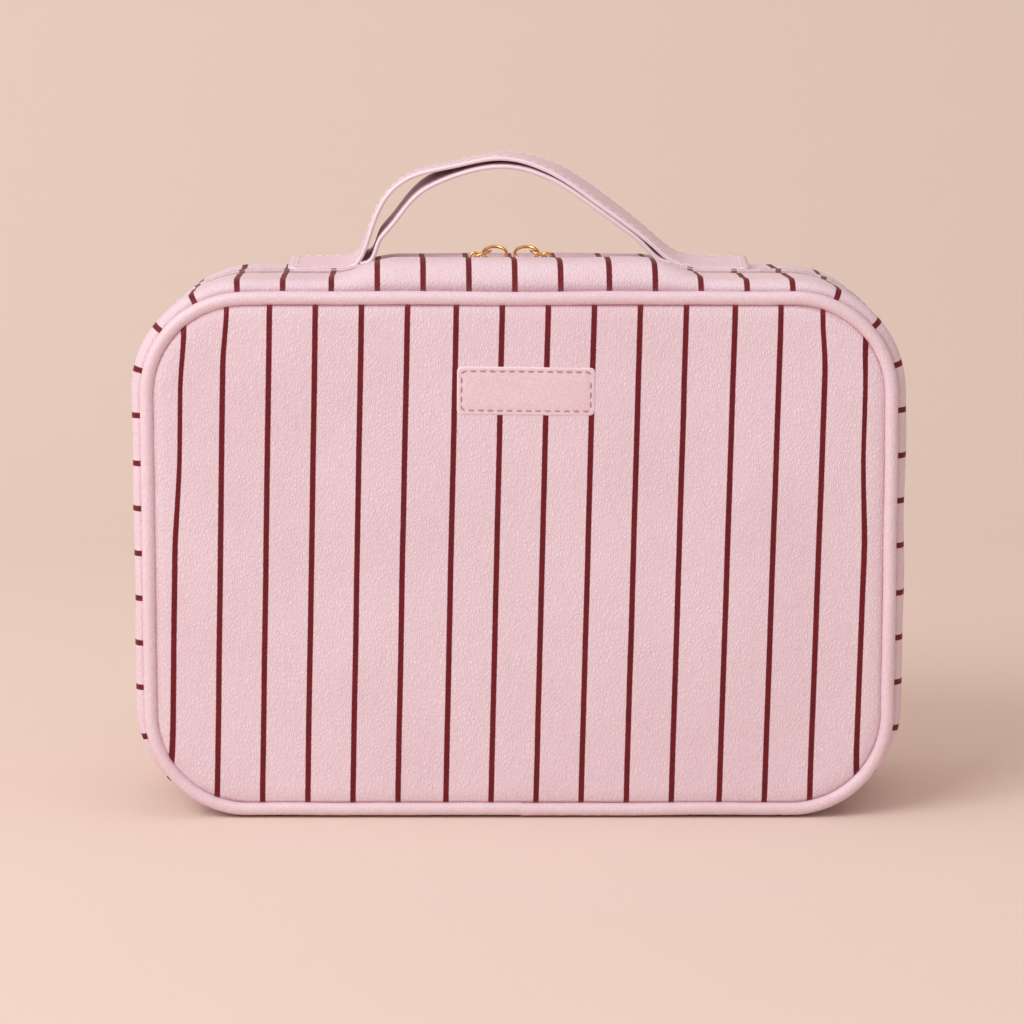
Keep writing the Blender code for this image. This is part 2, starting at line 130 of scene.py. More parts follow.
PINK = srgb(239, 216, 225)
PINK_DEEP = srgb(226, 192, 203)
TRIM_PINK = srgb(236, 211, 221)
TRIM_DEEP = srgb(222, 180, 192)
EDGE_PINK = srgb(244, 226, 232)
BURGUNDY = srgb(122, 10, 26)
BURGUNDY_DEEP = srgb(92, 4, 16)
THREAD = srgb(248, 232, 236)
# The label's thread, darker than the handle's so as to paint the shade that the sunk stitches sit in.
SHADED_PATCH_THREAD = srgb(196, 140, 142)
SEAM_SHADE = srgb(150, 62, 66)
GOLD = srgb(236, 190, 120)
GOLD_DARK = srgb(190, 135, 76)
LINING_ROSE = srgb(196, 122, 132)
LINING_DEEP = srgb(164, 92, 104)
BOARD = srgb(188, 182, 172)


# ---------------------------------------------------------------- material graphs


class Graph:
    """One node material, with short ways to add and join nodes."""

    def __init__(self, name):
        self.material = bpy.data.materials.new(name)
        self.material.use_nodes = True
        self.tree = self.material.node_tree
        self.shader = self.tree.nodes["Principled BSDF"]

    def feed(self, socket, value):
        if isinstance(value, bpy.types.NodeSocket):
            self.tree.links.new(value, socket)
        else:
            socket.default_value = value

    def node(self, kind, inputs=None, **settings):
        made = self.tree.nodes.new("ShaderNode" + kind)
        for key, value in settings.items():
            setattr(made, key, value)
        for key, value in (inputs or {}).items():
            self.feed(made.inputs[key], value)
        return made

    def math(self, operation, *values, clamp=False):
        made = self.node("Math", operation=operation, use_clamp=clamp)
        for index, value in enumerate(values):
            self.feed(made.inputs[index], value)
        return made.outputs[0]

    def attribute(self, name):
        return self.node("Attribute", attribute_name=name).outputs

    def place(self):
        """Where the surface was in the rest pose, in millimetres."""
        scaled = self.node("VectorMath", {0: self.attribute("rest")["Vector"]}, operation="SCALE")
        scaled.inputs["Scale"].default_value = 1000
        return scaled.outputs[0]

    def noise(self, place, scale, detail=2.0, roughness=0.5):
        inputs = {"Vector": place, "Scale": scale, "Detail": detail, "Roughness": roughness}
        return self.node("TexNoise", inputs).outputs["Fac"]

    def cells(self, place, scale, feature="SMOOTH_F1"):
        return self.node("TexVoronoi", {"Vector": place, "Scale": scale}, feature=feature).outputs["Distance"]

    def step(self, value, low, high):
        """0 below low, 1 above high, with a soft ramp between."""
        made = self.node("MapRange", interpolation_type="SMOOTHSTEP")
        for key, number in (("Value", value), ("From Min", low), ("From Max", high)):
            self.feed(made.inputs[key], number)
        return made.outputs["Result"]

    def mix(self, share, first, second):
        made = self.node("Mix", data_type="RGBA")
        for key, value in (("Factor_Float", share), ("A_Color", first), ("B_Color", second)):
            socket = next(item for item in made.inputs if item.identifier == key)
            self.feed(socket, value)
        return next(item for item in made.outputs if item.identifier == "Result_Color")

    def bump(self, height, depth, strength=1.0, normal=None):
        """depth is in metres."""
        made = self.node("Bump", {"Height": height, "Distance": depth, "Strength": strength})
        if normal is not None:
            self.feed(made.inputs["Normal"], normal)
        return made.outputs["Normal"]

    def finish(self, colour, roughness, normal=None, **constants):
        self.feed(self.shader.inputs["Base Color"], colour)
        self.feed(self.shader.inputs["Roughness"], roughness)
        if normal is not None:
            self.feed(self.shader.inputs["Normal"], normal)
        for key, value in constants.items():
            self.shader.inputs[key.replace("_", " ").title().replace("Ior", "IOR")].default_value = value
        return self.material


def pebble_height(graph, place, cell_mm):
    """The relief of embossed leather: rounded pebbles with creases between them, and pores."""
    slanted = graph.node("Mapping", {"Vector": place, "Rotation": (0.0, math.radians(38), 0.0),
                                     "Scale": (1.0, 1.0, 0.48)}).outputs[0]
    waves = {"Vector": slanted, "Scale": 0.35 / cell_mm, "Detail": 2.0}
    warp = graph.node("TexNoise", waves).outputs["Color"]
    offset = graph.node("VectorMath", {0: warp}, operation="SCALE")
    offset.inputs["Scale"].default_value = 1.5 * cell_mm
    moved = graph.node("VectorMath", {0: slanted, 1: offset.outputs[0]}, operation="ADD").outputs[0]
    edge = graph.cells(moved, 1 / cell_mm, "DISTANCE_TO_EDGE")
    pebbles = graph.step(edge, 0.0, 0.34)
    pores = graph.noise(place, 2.6 / cell_mm, 3.0, 0.6)
    return graph.math("ADD", graph.math("MULTIPLY", pebbles, 0.8), graph.math("MULTIPLY", pores, 0.35))


def stripe_share(graph, across):
    """1 on a stripe and 0 beside it, from the distance across the print in millimetres."""
    turn = graph.math("FLOORED_MODULO", across, REPEAT)
    last = STRIPE_PITCH * (STRIPES_IN_REPEAT - 0.5)
    inside = graph.math("ADD", graph.math("MINIMUM", turn, last), STRIPE_PITCH / 2)
    local = graph.math("SUBTRACT", graph.math("FLOORED_MODULO", inside, STRIPE_PITCH), STRIPE_PITCH / 2)
    near = graph.math("MINIMUM", graph.math("ABSOLUTE", local), graph.math("SUBTRACT", REPEAT, turn))
    half = STRIPE_WIDTH / 2
    return graph.math("SUBTRACT", 1.0, graph.step(near, half - 0.16, half + 0.16))


def leather_tone(graph, place, light, deep, height):
    """Leather colour: slow clouds of shade, and creases a little darker than the pebbles."""
    clouds = graph.noise(place, 0.018, 3.0, 0.55)
    tone = graph.mix(graph.math("MULTIPLY", graph.step(clouds, 0.35, 0.75), 0.35), light, deep)
    crease = graph.math("SUBTRACT", 1.0, graph.step(height, 0.1, 0.75))
    return graph.mix(graph.math("MULTIPLY", crease, 0.45), tone, deep)


def rubbed(graph):
    """How far a spot is made lighter, from the attribute that edges and seams carry: wear on most pieces, and a
    painted highlight along the zip-side edge of the striped strips and the zip tapes.
    """
    return graph.attribute("rub")["Fac"]


def striped_leather():
    """The printed leather: its grain, its stripes, its worn edges, a painted highlight along the zip edge and
    painted shade in the groove by the piping.
    """
    graph = Graph("striped_leather")
    place = graph.place()
    height = pebble_height(graph, place, 0.92)
    base = leather_tone(graph, place, PINK, PINK_DEEP, height)
    across = graph.math("MULTIPLY", graph.attribute("across")["Fac"], 1000.0)
    slow = graph.math("MULTIPLY", graph.math("SUBTRACT", graph.noise(place, 0.02, 2.0), 0.5), 0.35)
    ragged = graph.math("MULTIPLY", graph.math("SUBTRACT", graph.noise(place, 1.1, 2.0), 0.5), 0.22)
    stripe = stripe_share(graph, graph.math("ADD", graph.math("ADD", across, slow), ragged))
    worn = graph.math("MULTIPLY", graph.step(graph.noise(place, 0.7, 3.0, 0.7), 0.60, 0.85), 0.45)
    ink = graph.mix(graph.noise(place, 0.12, 2.0), BURGUNDY, BURGUNDY_DEEP)
    ink = graph.mix(graph.math("MULTIPLY", worn, height), ink, BURGUNDY)
    colour = graph.mix(stripe, base, ink)
    # Lighter towards EDGE_PINK: wear at edges, and a painted highlight along the strips' zip edge.
    colour = graph.mix(graph.math("MULTIPLY", rubbed(graph), 0.35), colour, EDGE_PINK)
    # Painted shade: darker red in the groove where the leather meets the piping.
    colour = graph.mix(graph.attribute("seam")["Fac"], colour, SEAM_SHADE)
    patchy = graph.math("MULTIPLY", graph.noise(place, 0.15, 3.0), 0.12)
    rough = graph.math("ADD", graph.math("SUBTRACT", 0.52, graph.math("MULTIPLY", height, 0.10)), patchy)
    normal = graph.bump(height, 0.16 * MM, 1.0)
    normal = graph.bump(graph.noise(place, 0.05, 2.0), 1.6 * MM, 0.30, normal)
    return graph.finish(colour, rough, normal, coat_weight=0.03, coat_roughness=0.4, specular_ior_level=0.3)


def trim_leather(name, light, deep, cell_mm, depth):
    """The plain leather of the piping, the handle and the patch. Its cut edges are painted."""
    graph = Graph(name)
    place = graph.place()
    height = pebble_height(graph, place, cell_mm)
    tone = leather_tone(graph, place, light, deep, height)
    edge = graph.attribute("edge")["Fac"]
    colour = graph.mix(edge, tone, EDGE_PINK)
    ply = graph.attribute("ply")["Fac"]
    line = graph.math("MULTIPLY", edge, graph.math("SUBTRACT", 1.0, graph.step(ply, 0.06, 0.16)))
    colour = graph.mix(graph.math("MULTIPLY", line, 0.6), colour, srgb(214, 138, 142))
    colour = graph.mix(graph.math("MULTIPLY", rubbed(graph), 0.4), colour, EDGE_PINK)
    patchy = graph.math("MULTIPLY", graph.noise(place, 0.2, 3.0), 0.14)
    rough = graph.math("ADD", 0.40, patchy)
    grain = graph.math("MULTIPLY", height, graph.math("SUBTRACT", 1.0, graph.math("MULTIPLY", edge, 0.8)))
    normal = graph.bump(grain, depth, 0.7)
    return graph.finish(colour, rough, normal, coat_weight=0.08, coat_roughness=0.3)


def woven(name, light, deep, thread_mm, rough_base, relief):
    """Plain-woven cloth, with both thread directions in the relief and slight shade from thread to thread."""
    graph = Graph(name)
    weave = graph.node("SeparateXYZ", {0: graph.attribute("weave")["Vector"]}).outputs
    turns = 2 * math.pi / (thread_mm * MM)
    warp = graph.math("SINE", graph.math("MULTIPLY", weave[0], turns))
    weft = graph.math("SINE", graph.math("MULTIPLY", weave[1], turns))
    crossing = graph.math("MULTIPLY", warp, weft)
    threads = graph.math("ADD", graph.math("MULTIPLY", crossing, 0.5), 0.5)
    place = graph.place()
    fuzz = graph.noise(place, 6.0 / thread_mm, 2.0, 0.6)
    height = graph.math("ADD", graph.math("MULTIPLY", threads, 0.7), graph.math("MULTIPLY", fuzz, 0.4))
    slubs = graph.step(graph.noise(place, 0.25, 3.0, 0.6), 0.35, 0.75)
    tone = graph.mix(graph.math("MULTIPLY", slubs, 0.5), light, deep)
    colour = graph.mix(graph.math("MULTIPLY", graph.math("SUBTRACT", 1.0, threads), 0.4), tone, deep)
    # Lighter towards the light cloth colour: wear at the boards' bound edges, and a painted highlight along the
    # zip tapes' edge by the teeth.
    colour = graph.mix(graph.math("MULTIPLY", rubbed(graph), 0.3), colour, light)
    rough = graph.math("ADD", rough_base, graph.math("MULTIPLY", fuzz, 0.12))
    normal = graph.bump(height, relief, 0.8)
    return graph.finish(colour, rough, normal, sheen_weight=0.25, sheen_roughness=0.4)


def gold_plate():
    """Polished gold plate with fine scratches, dulled where the tarnish gathers."""
    graph = Graph("gold_plate")
    place = graph.place()
    tarnish = graph.step(graph.noise(place, 0.6, 4.0, 0.6), 0.45, 0.8)
    colour = graph.mix(graph.math("MULTIPLY", tarnish, 0.55), GOLD, GOLD_DARK)
    scratches = graph.noise(place, 9.0, 4.0, 0.7)
    rough = graph.math("ADD", 0.13, graph.math("MULTIPLY", scratches, 0.16))
    return graph.finish(colour, rough, graph.bump(scratches, 0.01 * MM, 0.3), metallic=1.0)


def thread_material(name, light, deep):
    """Waxed sewing thread with the twist of its plies."""
    graph = Graph(name)
    place = graph.place()
    twist = {"Vector": place, "Scale": 1.1, "Distortion": 1.0}
    lay = graph.node("TexWave", twist, bands_direction="DIAGONAL").outputs["Fac"]
    colour = graph.mix(graph.math("MULTIPLY", lay, 0.4), light, deep)
    rough = graph.math("ADD", 0.5, graph.math("MULTIPLY", lay, 0.15))
    return graph.finish(colour, rough, graph.bump(lay, 0.06 * MM, 0.6), sheen_weight=0.15)


def board_material():
    """Pressed fibre board."""
    graph = Graph("fibre_board")
    place = graph.node("TexCoord").outputs["Object"]
    fibres = graph.noise(place, 900.0, 4.0, 0.65)
    colour = graph.mix(fibres, BOARD, srgb(160, 152, 140))
    return graph.finish(colour, graph.math("ADD", 0.75, graph.math("MULTIPLY", fibres, 0.15)),
                        graph.bump(fibres, 0.05 * MM, 0.5))


STRIPED = striped_leather()
PIPING_LEATHER = trim_leather("piping_leather", TRIM_PINK, TRIM_DEEP, 0.95, 0.12 * MM)
STRAP_LEATHER = trim_leather("strap_leather", TRIM_PINK, TRIM_DEEP, 0.9, 0.10 * MM)
PATCH_LEATHER = trim_leather("patch_leather", srgb(240, 214, 222), TRIM_DEEP, 0.8, 0.06 * MM)
TAPE = woven("zip_tape_weave", srgb(240, 190, 198), srgb(214, 148, 160), 0.7, 0.7, 0.08 * MM)
LINING = woven("lining_cloth", LINING_ROSE, LINING_DEEP, 0.9, 0.72, 0.10 * MM)
DIVIDER_CLOTH = woven("divider_cloth", srgb(204, 132, 142), LINING_DEEP, 0.8, 0.75, 0.10 * MM)
ELASTIC = woven("elastic_weave", srgb(226, 160, 168), srgb(184, 108, 120), 1.4, 0.7, 0.18 * MM)
GOLD_PLATE = gold_plate()
STRAP_THREAD = thread_material("strap_thread", THREAD, TRIM_DEEP)
# Label thread material, darkened to paint the shade of its sunk stitches.
SHADED_LABEL_THREAD = thread_material("shaded_label_thread", SHADED_PATCH_THREAD, srgb(168, 108, 110))
FIBRE_BOARD = board_material()


# ---------------------------------------------------------------- mesh helpers


def smooth(value):
    """A soft step from 0 to 1, held at both ends."""
    value = min(max(value, 0.0), 1.0)
    return value * value * (3 - 2 * value)


def ripple(place, size, height, seed=0.0):
    """Gentle unevenness, the same each run."""
    return noise.noise(place / size + Vector((seed, seed * 1.7, -seed))) * height


def make_piece(name, vertices, faces, look, **attributes):
    """A piece with the given point attributes stored on it."""
    mesh = bpy.data.meshes.new(name)
    mesh.from_pydata([tuple(vertex) for vertex in vertices], [], faces)
    mesh.update()
    piece = bpy.data.objects.new(name, mesh)
    bpy.context.scene.collection.objects.link(piece)
    mesh.materials.append(look)
    mesh.shade_smooth()
    for key, values in attributes.items():
        kind = "FLOAT_VECTOR" if key == "weave" else "FLOAT"
        field = "vector" if key == "weave" else "value"
        flat = [part for value in values for part in value] if key == "weave" else values
        mesh.attributes.new(key, kind, "POINT").data.foreach_set(field, flat)
    return piece


def remember_rest(piece):
    """Stores where each point is now, for the materials to read."""
    mesh = piece.data
    kept = mesh.attributes.get("rest") or mesh.attributes.new("rest", "FLOAT_VECTOR", "POINT")
    flat = [part for vertex in mesh.vertices for part in piece.matrix_world @ vertex.co]
    kept.data.foreach_set("vector", flat)


def bake(piece):
    """Applies the piece's modifiers, so that its mesh is final."""
    bpy.context.view_layer.update()
    graph = bpy.context.evaluated_depsgraph_get()
    made = bpy.data.meshes.new_from_object(piece.evaluated_get(graph), preserve_all_data_layers=True,
                                           depsgraph=graph)
    piece.modifiers.clear()
    old = piece.data
    piece.data = made
    bpy.data.meshes.remove(old)
    piece.data.name = piece.name
    piece.data.shade_smooth()


def face_outwards(piece):
    """Turns every face's front to the outside."""
    bm = bmesh.new()
    bm.from_mesh(piece.data)
    bmesh.ops.recalc_face_normals(bm, faces=bm.faces)
    bm.to_mesh(piece.data)
    bm.free()


def thicken(piece, thickness, offset=-1.0):
    """Adds the modifier that gives a sheet its thickness."""
    solid = piece.modifiers.new("thickness", "SOLIDIFY")
    solid.thickness = thickness
    solid.offset = offset
    solid.use_even_offset = True


def subdivide(piece):
    """Adds the modifier that rounds a piece's faces off."""
    division = piece.modifiers.new("smooth", "SUBSURF")
    division.levels = 1
    division.render_levels = 1


def grid_faces(rows, columns, closed_rows=False, closed_columns=False):
    """Quads of a grid whose points are numbered row by row."""
    faces = []
    for row in range(rows if closed_rows else rows - 1):
        for column in range(columns if closed_columns else columns - 1):
            after_row, after = (row + 1) % rows, (column + 1) % columns
            faces.append((row * columns + column, row * columns + after,
                          after_row * columns + after, after_row * columns + column))
    return faces


def settle(piece, body, slot, *nodes, blended=None):
    """Stores a finished piece's rest positions, hides its CAD nodes and puts it on its body; a blended piece is
    left off its body, with its place baked into its mesh.
    """
    remember_rest(piece)
    if nodes:
        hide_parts(*nodes)
    if blended:
        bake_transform(piece)
    else:
        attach(piece, body)
    return piece


def join(pieces, name):
    """One piece out of several, keeping their attributes."""
    with bpy.context.temp_override(active_object=pieces[0], selected_editable_objects=pieces):
        bpy.ops.object.join()
    pieces[0].name = name
    pieces[0].data.name = name
    return pieces[0]


# ---------------------------------------------------------------- the seam line

BEND_RUN = CORNER * math.pi / 2
SIDE_RUN = SEAM_TOP - SEAM_BOTTOM - 2 * CORNER
OPEN_RUN = CORNER_X + 2 * BEND_RUN + SIDE_RUN  # from the middle of the top to the base
FULL_RUN = OPEN_RUN + CORNER_X


def seam_at(run):
    """The seam's (x, z) and outward direction. run is the distance along it from the middle of the top."""
    side, left = (1 if run >= 0 else -1), abs(run)
    if left <= CORNER_X:
        return Vector((run, SEAM_TOP)), Vector((0, 1))
    left -= CORNER_X
    if left <= BEND_RUN:
        out = Vector((side * math.sin(left / CORNER), math.cos(left / CORNER)))
        return Vector((side * CORNER_X, SEAM_TOP - CORNER)) + out * CORNER, out
    left -= BEND_RUN
    if left <= SIDE_RUN:
        return Vector((side * HALF_WIDTH, SEAM_TOP - CORNER - left)), Vector((side, 0))
    left -= SIDE_RUN
    if left <= BEND_RUN:
        out = Vector((side * math.cos(left / CORNER), -math.sin(left / CORNER)))
        return Vector((side * CORNER_X, SEAM_BOTTOM + CORNER)) + out * CORNER, out
    left -= BEND_RUN
    return Vector((side * (CORNER_X - left), SEAM_BOTTOM)), Vector((0, -1))


def runs_along(half, step):
    """Evenly spaced distances from -half to half."""
    count = max(2, round(2 * half / step))
    return [-half + 2 * half * index / count for index in range(count + 1)]


def lift(x):
    """1 on the top between the handle's ends, falling to 0 outside them."""
    return smooth((LIFT_NONE - abs(x)) / (LIFT_NONE - LIFT_FULL))


def print_run(run):
    """The distance along the print: round a corner it covers the strip's outer curve, which is longer."""
    turned = min(max(abs(run) - CORNER_X, 0.0), BEND_RUN) / CORNER
    return run + math.copysign(CORNER_STRETCH * turned, run)


def shell_point(run, side, y, offset, rise):
    """A point out from the seam line, raised on the top, as the CAD walls are."""
    point, out = seam_at(run)
    sink = BASE_SINK * smooth(-out.y) * min((GUSSET_Y - y) / SINK_WIDTH, 1.0)
    place = point + out * (offset - sink)
    raised = rise * lift(place.x) if out.y > 0 else 0.0
    return Vector((place.x, side * y, place.y + raised))


def curve_through(points, steps):
    """A smooth line through points of any size (Catmull-Rom)."""
    spots = [Vector(point) for point in points]
    spots = [2 * spots[0] - spots[1], *spots, 2 * spots[-1] - spots[-2]]
    found = []
    for before, start, end, after in zip(spots, spots[1:], spots[2:], spots[3:]):
        for step in range(steps):
            t = step / steps
            found.append(0.5 * (2 * start + (end - before) * t
                                + (2 * before - 5 * start + 4 * end - after) * t * t
                                + (3 * start - before - 3 * end + after) * t ** 3))
    found.append(spots[-2])
    return found


# ---------------------------------------------------------------- leather shells

PANEL_INSET = PIPE - 0.6 * MM
PANEL_ROLL = 5.5 * MM
PANEL_EDGE_SINK = 2.3 * MM
PANEL_CROWN = 1.5 * MM
PANEL_RINGS = 44


def inside_depth(x, z):
    """How far a point of a panel is inside the seam line."""
    away_x = abs(x) - CORNER_X
    away_z = abs(z - (SEAM_TOP + SEAM_BOTTOM) / 2) - ((SEAM_TOP - SEAM_BOTTOM) / 2 - CORNER)
    if away_x > 0 and away_z > 0:
        return CORNER - math.hypot(away_x, away_z)
    return min(CORNER - away_x, CORNER - away_z)


def panel_sheet(name, side):
    """A flat sheet of the panel's outline, in rings that close in on its middle."""
    middle_z = (SEAM_TOP + SEAM_BOTTOM) / 2
    runs = runs_along(FULL_RUN, 5.0 * MM)[:-1]
    vertices = []
    for ring in range(PANEL_RINGS):
        share = 1 - (ring / PANEL_RINGS) ** 1.45
        for run in runs:
            point, out = seam_at(run)
            edge = point - out * PANEL_INSET
            height = middle_z + (edge.y - middle_z) * share
            vertices.append(Vector((edge.x * share, side * PANEL_FACE_Y, height)))
    faces = grid_faces(PANEL_RINGS, len(runs), closed_columns=True)
    hub = len(vertices)
    vertices.append(Vector((0, side * PANEL_FACE_Y, middle_z)))
    last = (PANEL_RINGS - 1) * len(runs)
    faces += [(last + index, last + (index + 1) % len(runs), hub) for index in range(len(runs))]
    if side == BACK:
        faces = [face[::-1] for face in faces]
    across, seam = [], []
    for vertex in vertices:
        depth = inside_depth(vertex.x, vertex.z) - PANEL_INSET
        corner = smooth(1 - depth / (20 * MM)) * smooth((abs(vertex.x) - 90 * MM) / (30 * MM))
        pulled = math.copysign(2.6 * MM, vertex.x) * corner * smooth((vertex.z - middle_z) / (40 * MM))
        across.append((vertex.x + pulled) * -side + PANEL_LEAN * (middle_z - vertex.z) - PANEL_PHASE)
        # Painted shade: how much of the darker seam colour is painted in the groove where the panel meets the
        # piping.
        seam.append(0.9 * smooth((1.7 * MM - depth) / (0.9 * MM)))
    rub = [0.0] * len(vertices)
    return make_piece(name, vertices, faces, STRIPED, across=across, rub=rub, seam=seam), len(runs)


PANEL_SIM_FRAMES = 18


def blow_up(piece, pinned, side):
    """Cloth simulation: the sheet swells outwards between its sewn edges, over the padding under it."""
    group = piece.vertex_groups.new(name="sewn")
    group.add(pinned, 1.0, "REPLACE")
    cloth = piece.modifiers.new("cloth", "CLOTH")
    cloth.settings.vertex_group_mass = "sewn"
    cloth.settings.use_pressure = True
    cloth.settings.uniform_pressure_force = 1.2
    cloth.settings.shrink_min = 0.0
    cloth.settings.tension_stiffness = 30
    cloth.settings.bending_stiffness = 12
    cloth.settings.effector_weights.gravity = 0
    cloth.point_cache.frame_start = 1
    cloth.point_cache.frame_end = PANEL_SIM_FRAMES
    for number in range(1, PANEL_SIM_FRAMES + 1):
        bpy.context.scene.frame_set(number)
    bake(piece)
    bpy.context.scene.frame_set(1)
    moves = [side * vertex.co.y - PANEL_FACE_Y for vertex in piece.data.vertices]
    return moves


def panel(prefix, side):
    """A padded leather panel: sewn down under the piping, rolled over its edge and gently crowned."""
    name = prefix + "_panel_leather"
    piece, edge_count = panel_sheet(name, side)
    flat = [vertex.co.copy() for vertex in piece.data.vertices]
    moves = blow_up(piece, list(range(edge_count)), side)
    most = max(max(moves), 1e-6)
    for vertex, point, move in zip(piece.data.vertices, flat, moves):
        depth = inside_depth(point.x, point.z) - PANEL_INSET
        rolled = PANEL_EDGE_SINK * (1 - math.sqrt(max(0.0, 1 - (1 - min(depth / PANEL_ROLL, 1.0)) ** 2)))
        crown = PANEL_CROWN * max(move, 0.0) / most
        pucker = ripple(point, 9 * MM, 0.25 * MM) * max(0.0, 1 - depth / (16 * MM)) * min(depth / MM, 1.0)
        sway = ripple(point, 45 * MM, 0.7 * MM, 3.0) * min(depth / (20 * MM), 1.0)
        vertex.co = (point.x, side * (PANEL_FACE_Y - rolled + crown + pucker + sway), point.z)
    thicken(piece, LEATHER)
    settle(piece, "lid" if side == FRONT else "case", "striped_leather", prefix + "_panel")
    return piece


def tube(name, centres, frames_out, radius_at, look, around=18, closed=True):
    """A round tube along a line. frames_out gives two directions across it at each point."""
    vertices, edge = [], []
    for index, (centre, (first, second)) in enumerate(zip(centres, frames_out)):
        for corner in range(around):
            angle = 2 * math.pi * corner / around
            radius = radius_at(index, angle)
            vertices.append(centre + first * math.cos(angle) * radius + second * math.sin(angle) * radius)
            edge.append(0.0)
    faces = grid_faces(len(centres), around, closed_rows=closed, closed_columns=True)
    if not closed:
        faces.append(tuple(range(around))[::-1])
        faces.append(tuple(range(len(vertices) - around, len(vertices))))
    return make_piece(name, vertices, faces, look, edge=edge)


def piping(prefix, side):
    """The covered cord round a shell, with the small creases of leather pulled round it."""
    runs = runs_along(FULL_RUN, 1.6 * MM)[:-1]
    centres, across, rub = [], [], []
    for run in runs:
        point, out = seam_at(run)
        drift = ripple(Vector((run, 0, side)), 30 * MM, 0.35 * MM, 7.0)
        height = max(point.y + out.y * drift, PIPE + 0.2 * MM)
        centres.append(Vector((point.x + out.x * drift, side * PIPE_Y, height)))
        across.append((Vector((out.x, 0, out.y)), Vector((0, side, 0))))

    def radius_at(index, angle):
        crease = ripple(Vector((runs[index], angle * 2 * MM, 0)), 2.6 * MM, 0.10 * MM)
        return PIPE - 0.05 * MM + crease

    piece = tube(prefix + "_piping_leather", centres, across, radius_at, PIPING_LEATHER)
    rub = [max(0.0, (side * vertex.co.y - PIPE_Y) / PIPE) * 0.5 for vertex in piece.data.vertices]
    piece.data.attributes.new("rub", "FLOAT", "POINT").data.foreach_set("value", rub)
    if piece.data.polygons[0].normal.dot(piece.data.vertices[0].co - centres[0]) < 0:
        piece.data.flip_normals()
    return settle(piece, "lid" if side == FRONT else "case", "trim_leather", prefix + "_piping")


PROFILE_STEPS = 5


def wall(name, side, profile, half_run, step, look, thickness, phase=0.0, puff=0.0):
    """A sheet along the seam line whose section follows the profile rows (y, offset, rise)."""
    rows = curve_through(profile, PROFILE_STEPS)
    runs = runs_along(half_run, step)
    vertices, across, weave, rub, seam = [], [], [], [], []
    for y, offset, rise in rows:
        for run in runs:
            spot = shell_point(run, side, y, offset, rise)
            inner = min(GUSSET_Y - y, y - rows[-1][0]) / (8 * MM)
            out = seam_at(run)[1]
            swell = puff * smooth(inner) * noise.noise(Vector((run / (26 * MM), y / (18 * MM), side * 5.0)))
            crease = puff * 0.25 * smooth(1 - inner)
            crease *= noise.noise(Vector((run / (5 * MM), y / (9 * MM), side)))
            move = (swell + crease) * (1.0 if spot.z > 12 * MM else 0.2)
            spot += Vector((out.x, 0, out.y)) * move
            vertices.append(Vector((spot.x, spot.y, max(spot.z, 0.1 * MM))))
            across.append(print_run(run) + STRIP_LEAN * side * y - phase)
            weave.append((run, y, 0.0))
            # Painted shade in the groove where the strip meets the piping.
            seam.append(0.75 * smooth(1 - (GUSSET_Y + 0.4 * MM - y) / (1.6 * MM)) if puff else 0.0)
            # Painted highlight: a lighter band along the zip-side edge, where light catches it.
            rub.append(max(0.0, 1 - abs(y - rows[-1][0]) / (1.2 * MM)) * 0.6)
    faces = grid_faces(len(rows), len(runs))
    if side == BACK:
        faces = [face[::-1] for face in faces]
    piece = make_piece(name, vertices, faces, look, across=across, weave=weave, rub=rub, seam=seam)
    thicken(piece, thickness)
    return piece


def gussets():
    """The striped strips between the piping and the zip, over the top and down both sides."""
    front = [
        (GUSSET_Y + 0.6 * MM, -0.2 * MM, 0.0), (GUSSET_Y, 1.2 * MM, 0.0),
        (42.5 * MM, 4.5 * MM, FRONT_RISE * 0.45),
        (39.0 * MM, 6.0 * MM, FRONT_RISE * 0.85), (32.0 * MM, 6.3 * MM, FRONT_RISE),
        (14.0 * MM, 6.1 * MM, FRONT_RISE * 0.8 + ZIP_RISE * 0.2), (6.5 * MM, 5.9 * MM, ZIP_RISE * 1.05),
        (5.0 * MM, 5.5 * MM, ZIP_RISE),
    ]
    rear = [
        (GUSSET_Y + 0.6 * MM, -0.2 * MM, 0.0), (GUSSET_Y, 1.2 * MM, 0.0),
        (42.5 * MM, 4.5 * MM, ZIP_RISE * 0.7),
        (39.0 * MM, REAR_OFFSET, ZIP_RISE), (22.0 * MM, REAR_OFFSET - 0.1 * MM, ZIP_RISE),
        (6.5 * MM, REAR_OFFSET - 0.2 * MM, ZIP_RISE), (5.0 * MM, REAR_OFFSET - 0.5 * MM, ZIP_RISE),
    ]
    for prefix, side, profile, body in (("front", FRONT, front, "lid"), ("back", BACK, rear, "case")):
        piece = wall(prefix + "_gusset_leather", side, profile, OPEN_RUN, 2.2 * MM, STRIPED, LEATHER,
                     phase=STRIP_PHASE, puff=0.7 * MM)
        bake(piece)
        for vertex in piece.data.vertices:
            vertex.co.z = max(vertex.co.z, 0.05 * MM)
        settle(piece, body, "striped_leather", prefix + "_gusset")


def base_strip():
    """The one strip of leather under both shells, with a shallow groove along its middle."""
    half = CORNER_X - GAP
    xs = [-half + 2 * half * index / 130 for index in range(131)]
    ys = [-GUSSET_Y + 2 * GUSSET_Y * index / 56 for index in range(57)]
    vertices, across = [], []
    for y in ys:
        for x in xs:
            groove = 0.35 * MM * math.exp(-(y / (1.2 * MM)) ** 2)
            height = 0.05 * MM + groove + abs(ripple(Vector((x, y, 0)), 20 * MM, 0.15 * MM))
            vertices.append(Vector((x, y, height)))
            across.append(x - STRIP_LEAN * y - STRIP_PHASE)
    faces = [face[::-1] for face in grid_faces(len(ys), len(xs))]
    rub = [0.1] * len(vertices)
    piece = make_piece("base_strip_leather", vertices, faces, STRIPED, across=across, rub=rub)
    thicken(piece, LEATHER - 0.3 * MM)
    bake(piece)
    settle(piece, "case", "striped_leather", "front_base_gusset", "back_base_gusset",
           blended=("lid", (0, 5 * MM, 0), (0, -5 * MM, 0)))


# ---------------------------------------------------------------- stitches


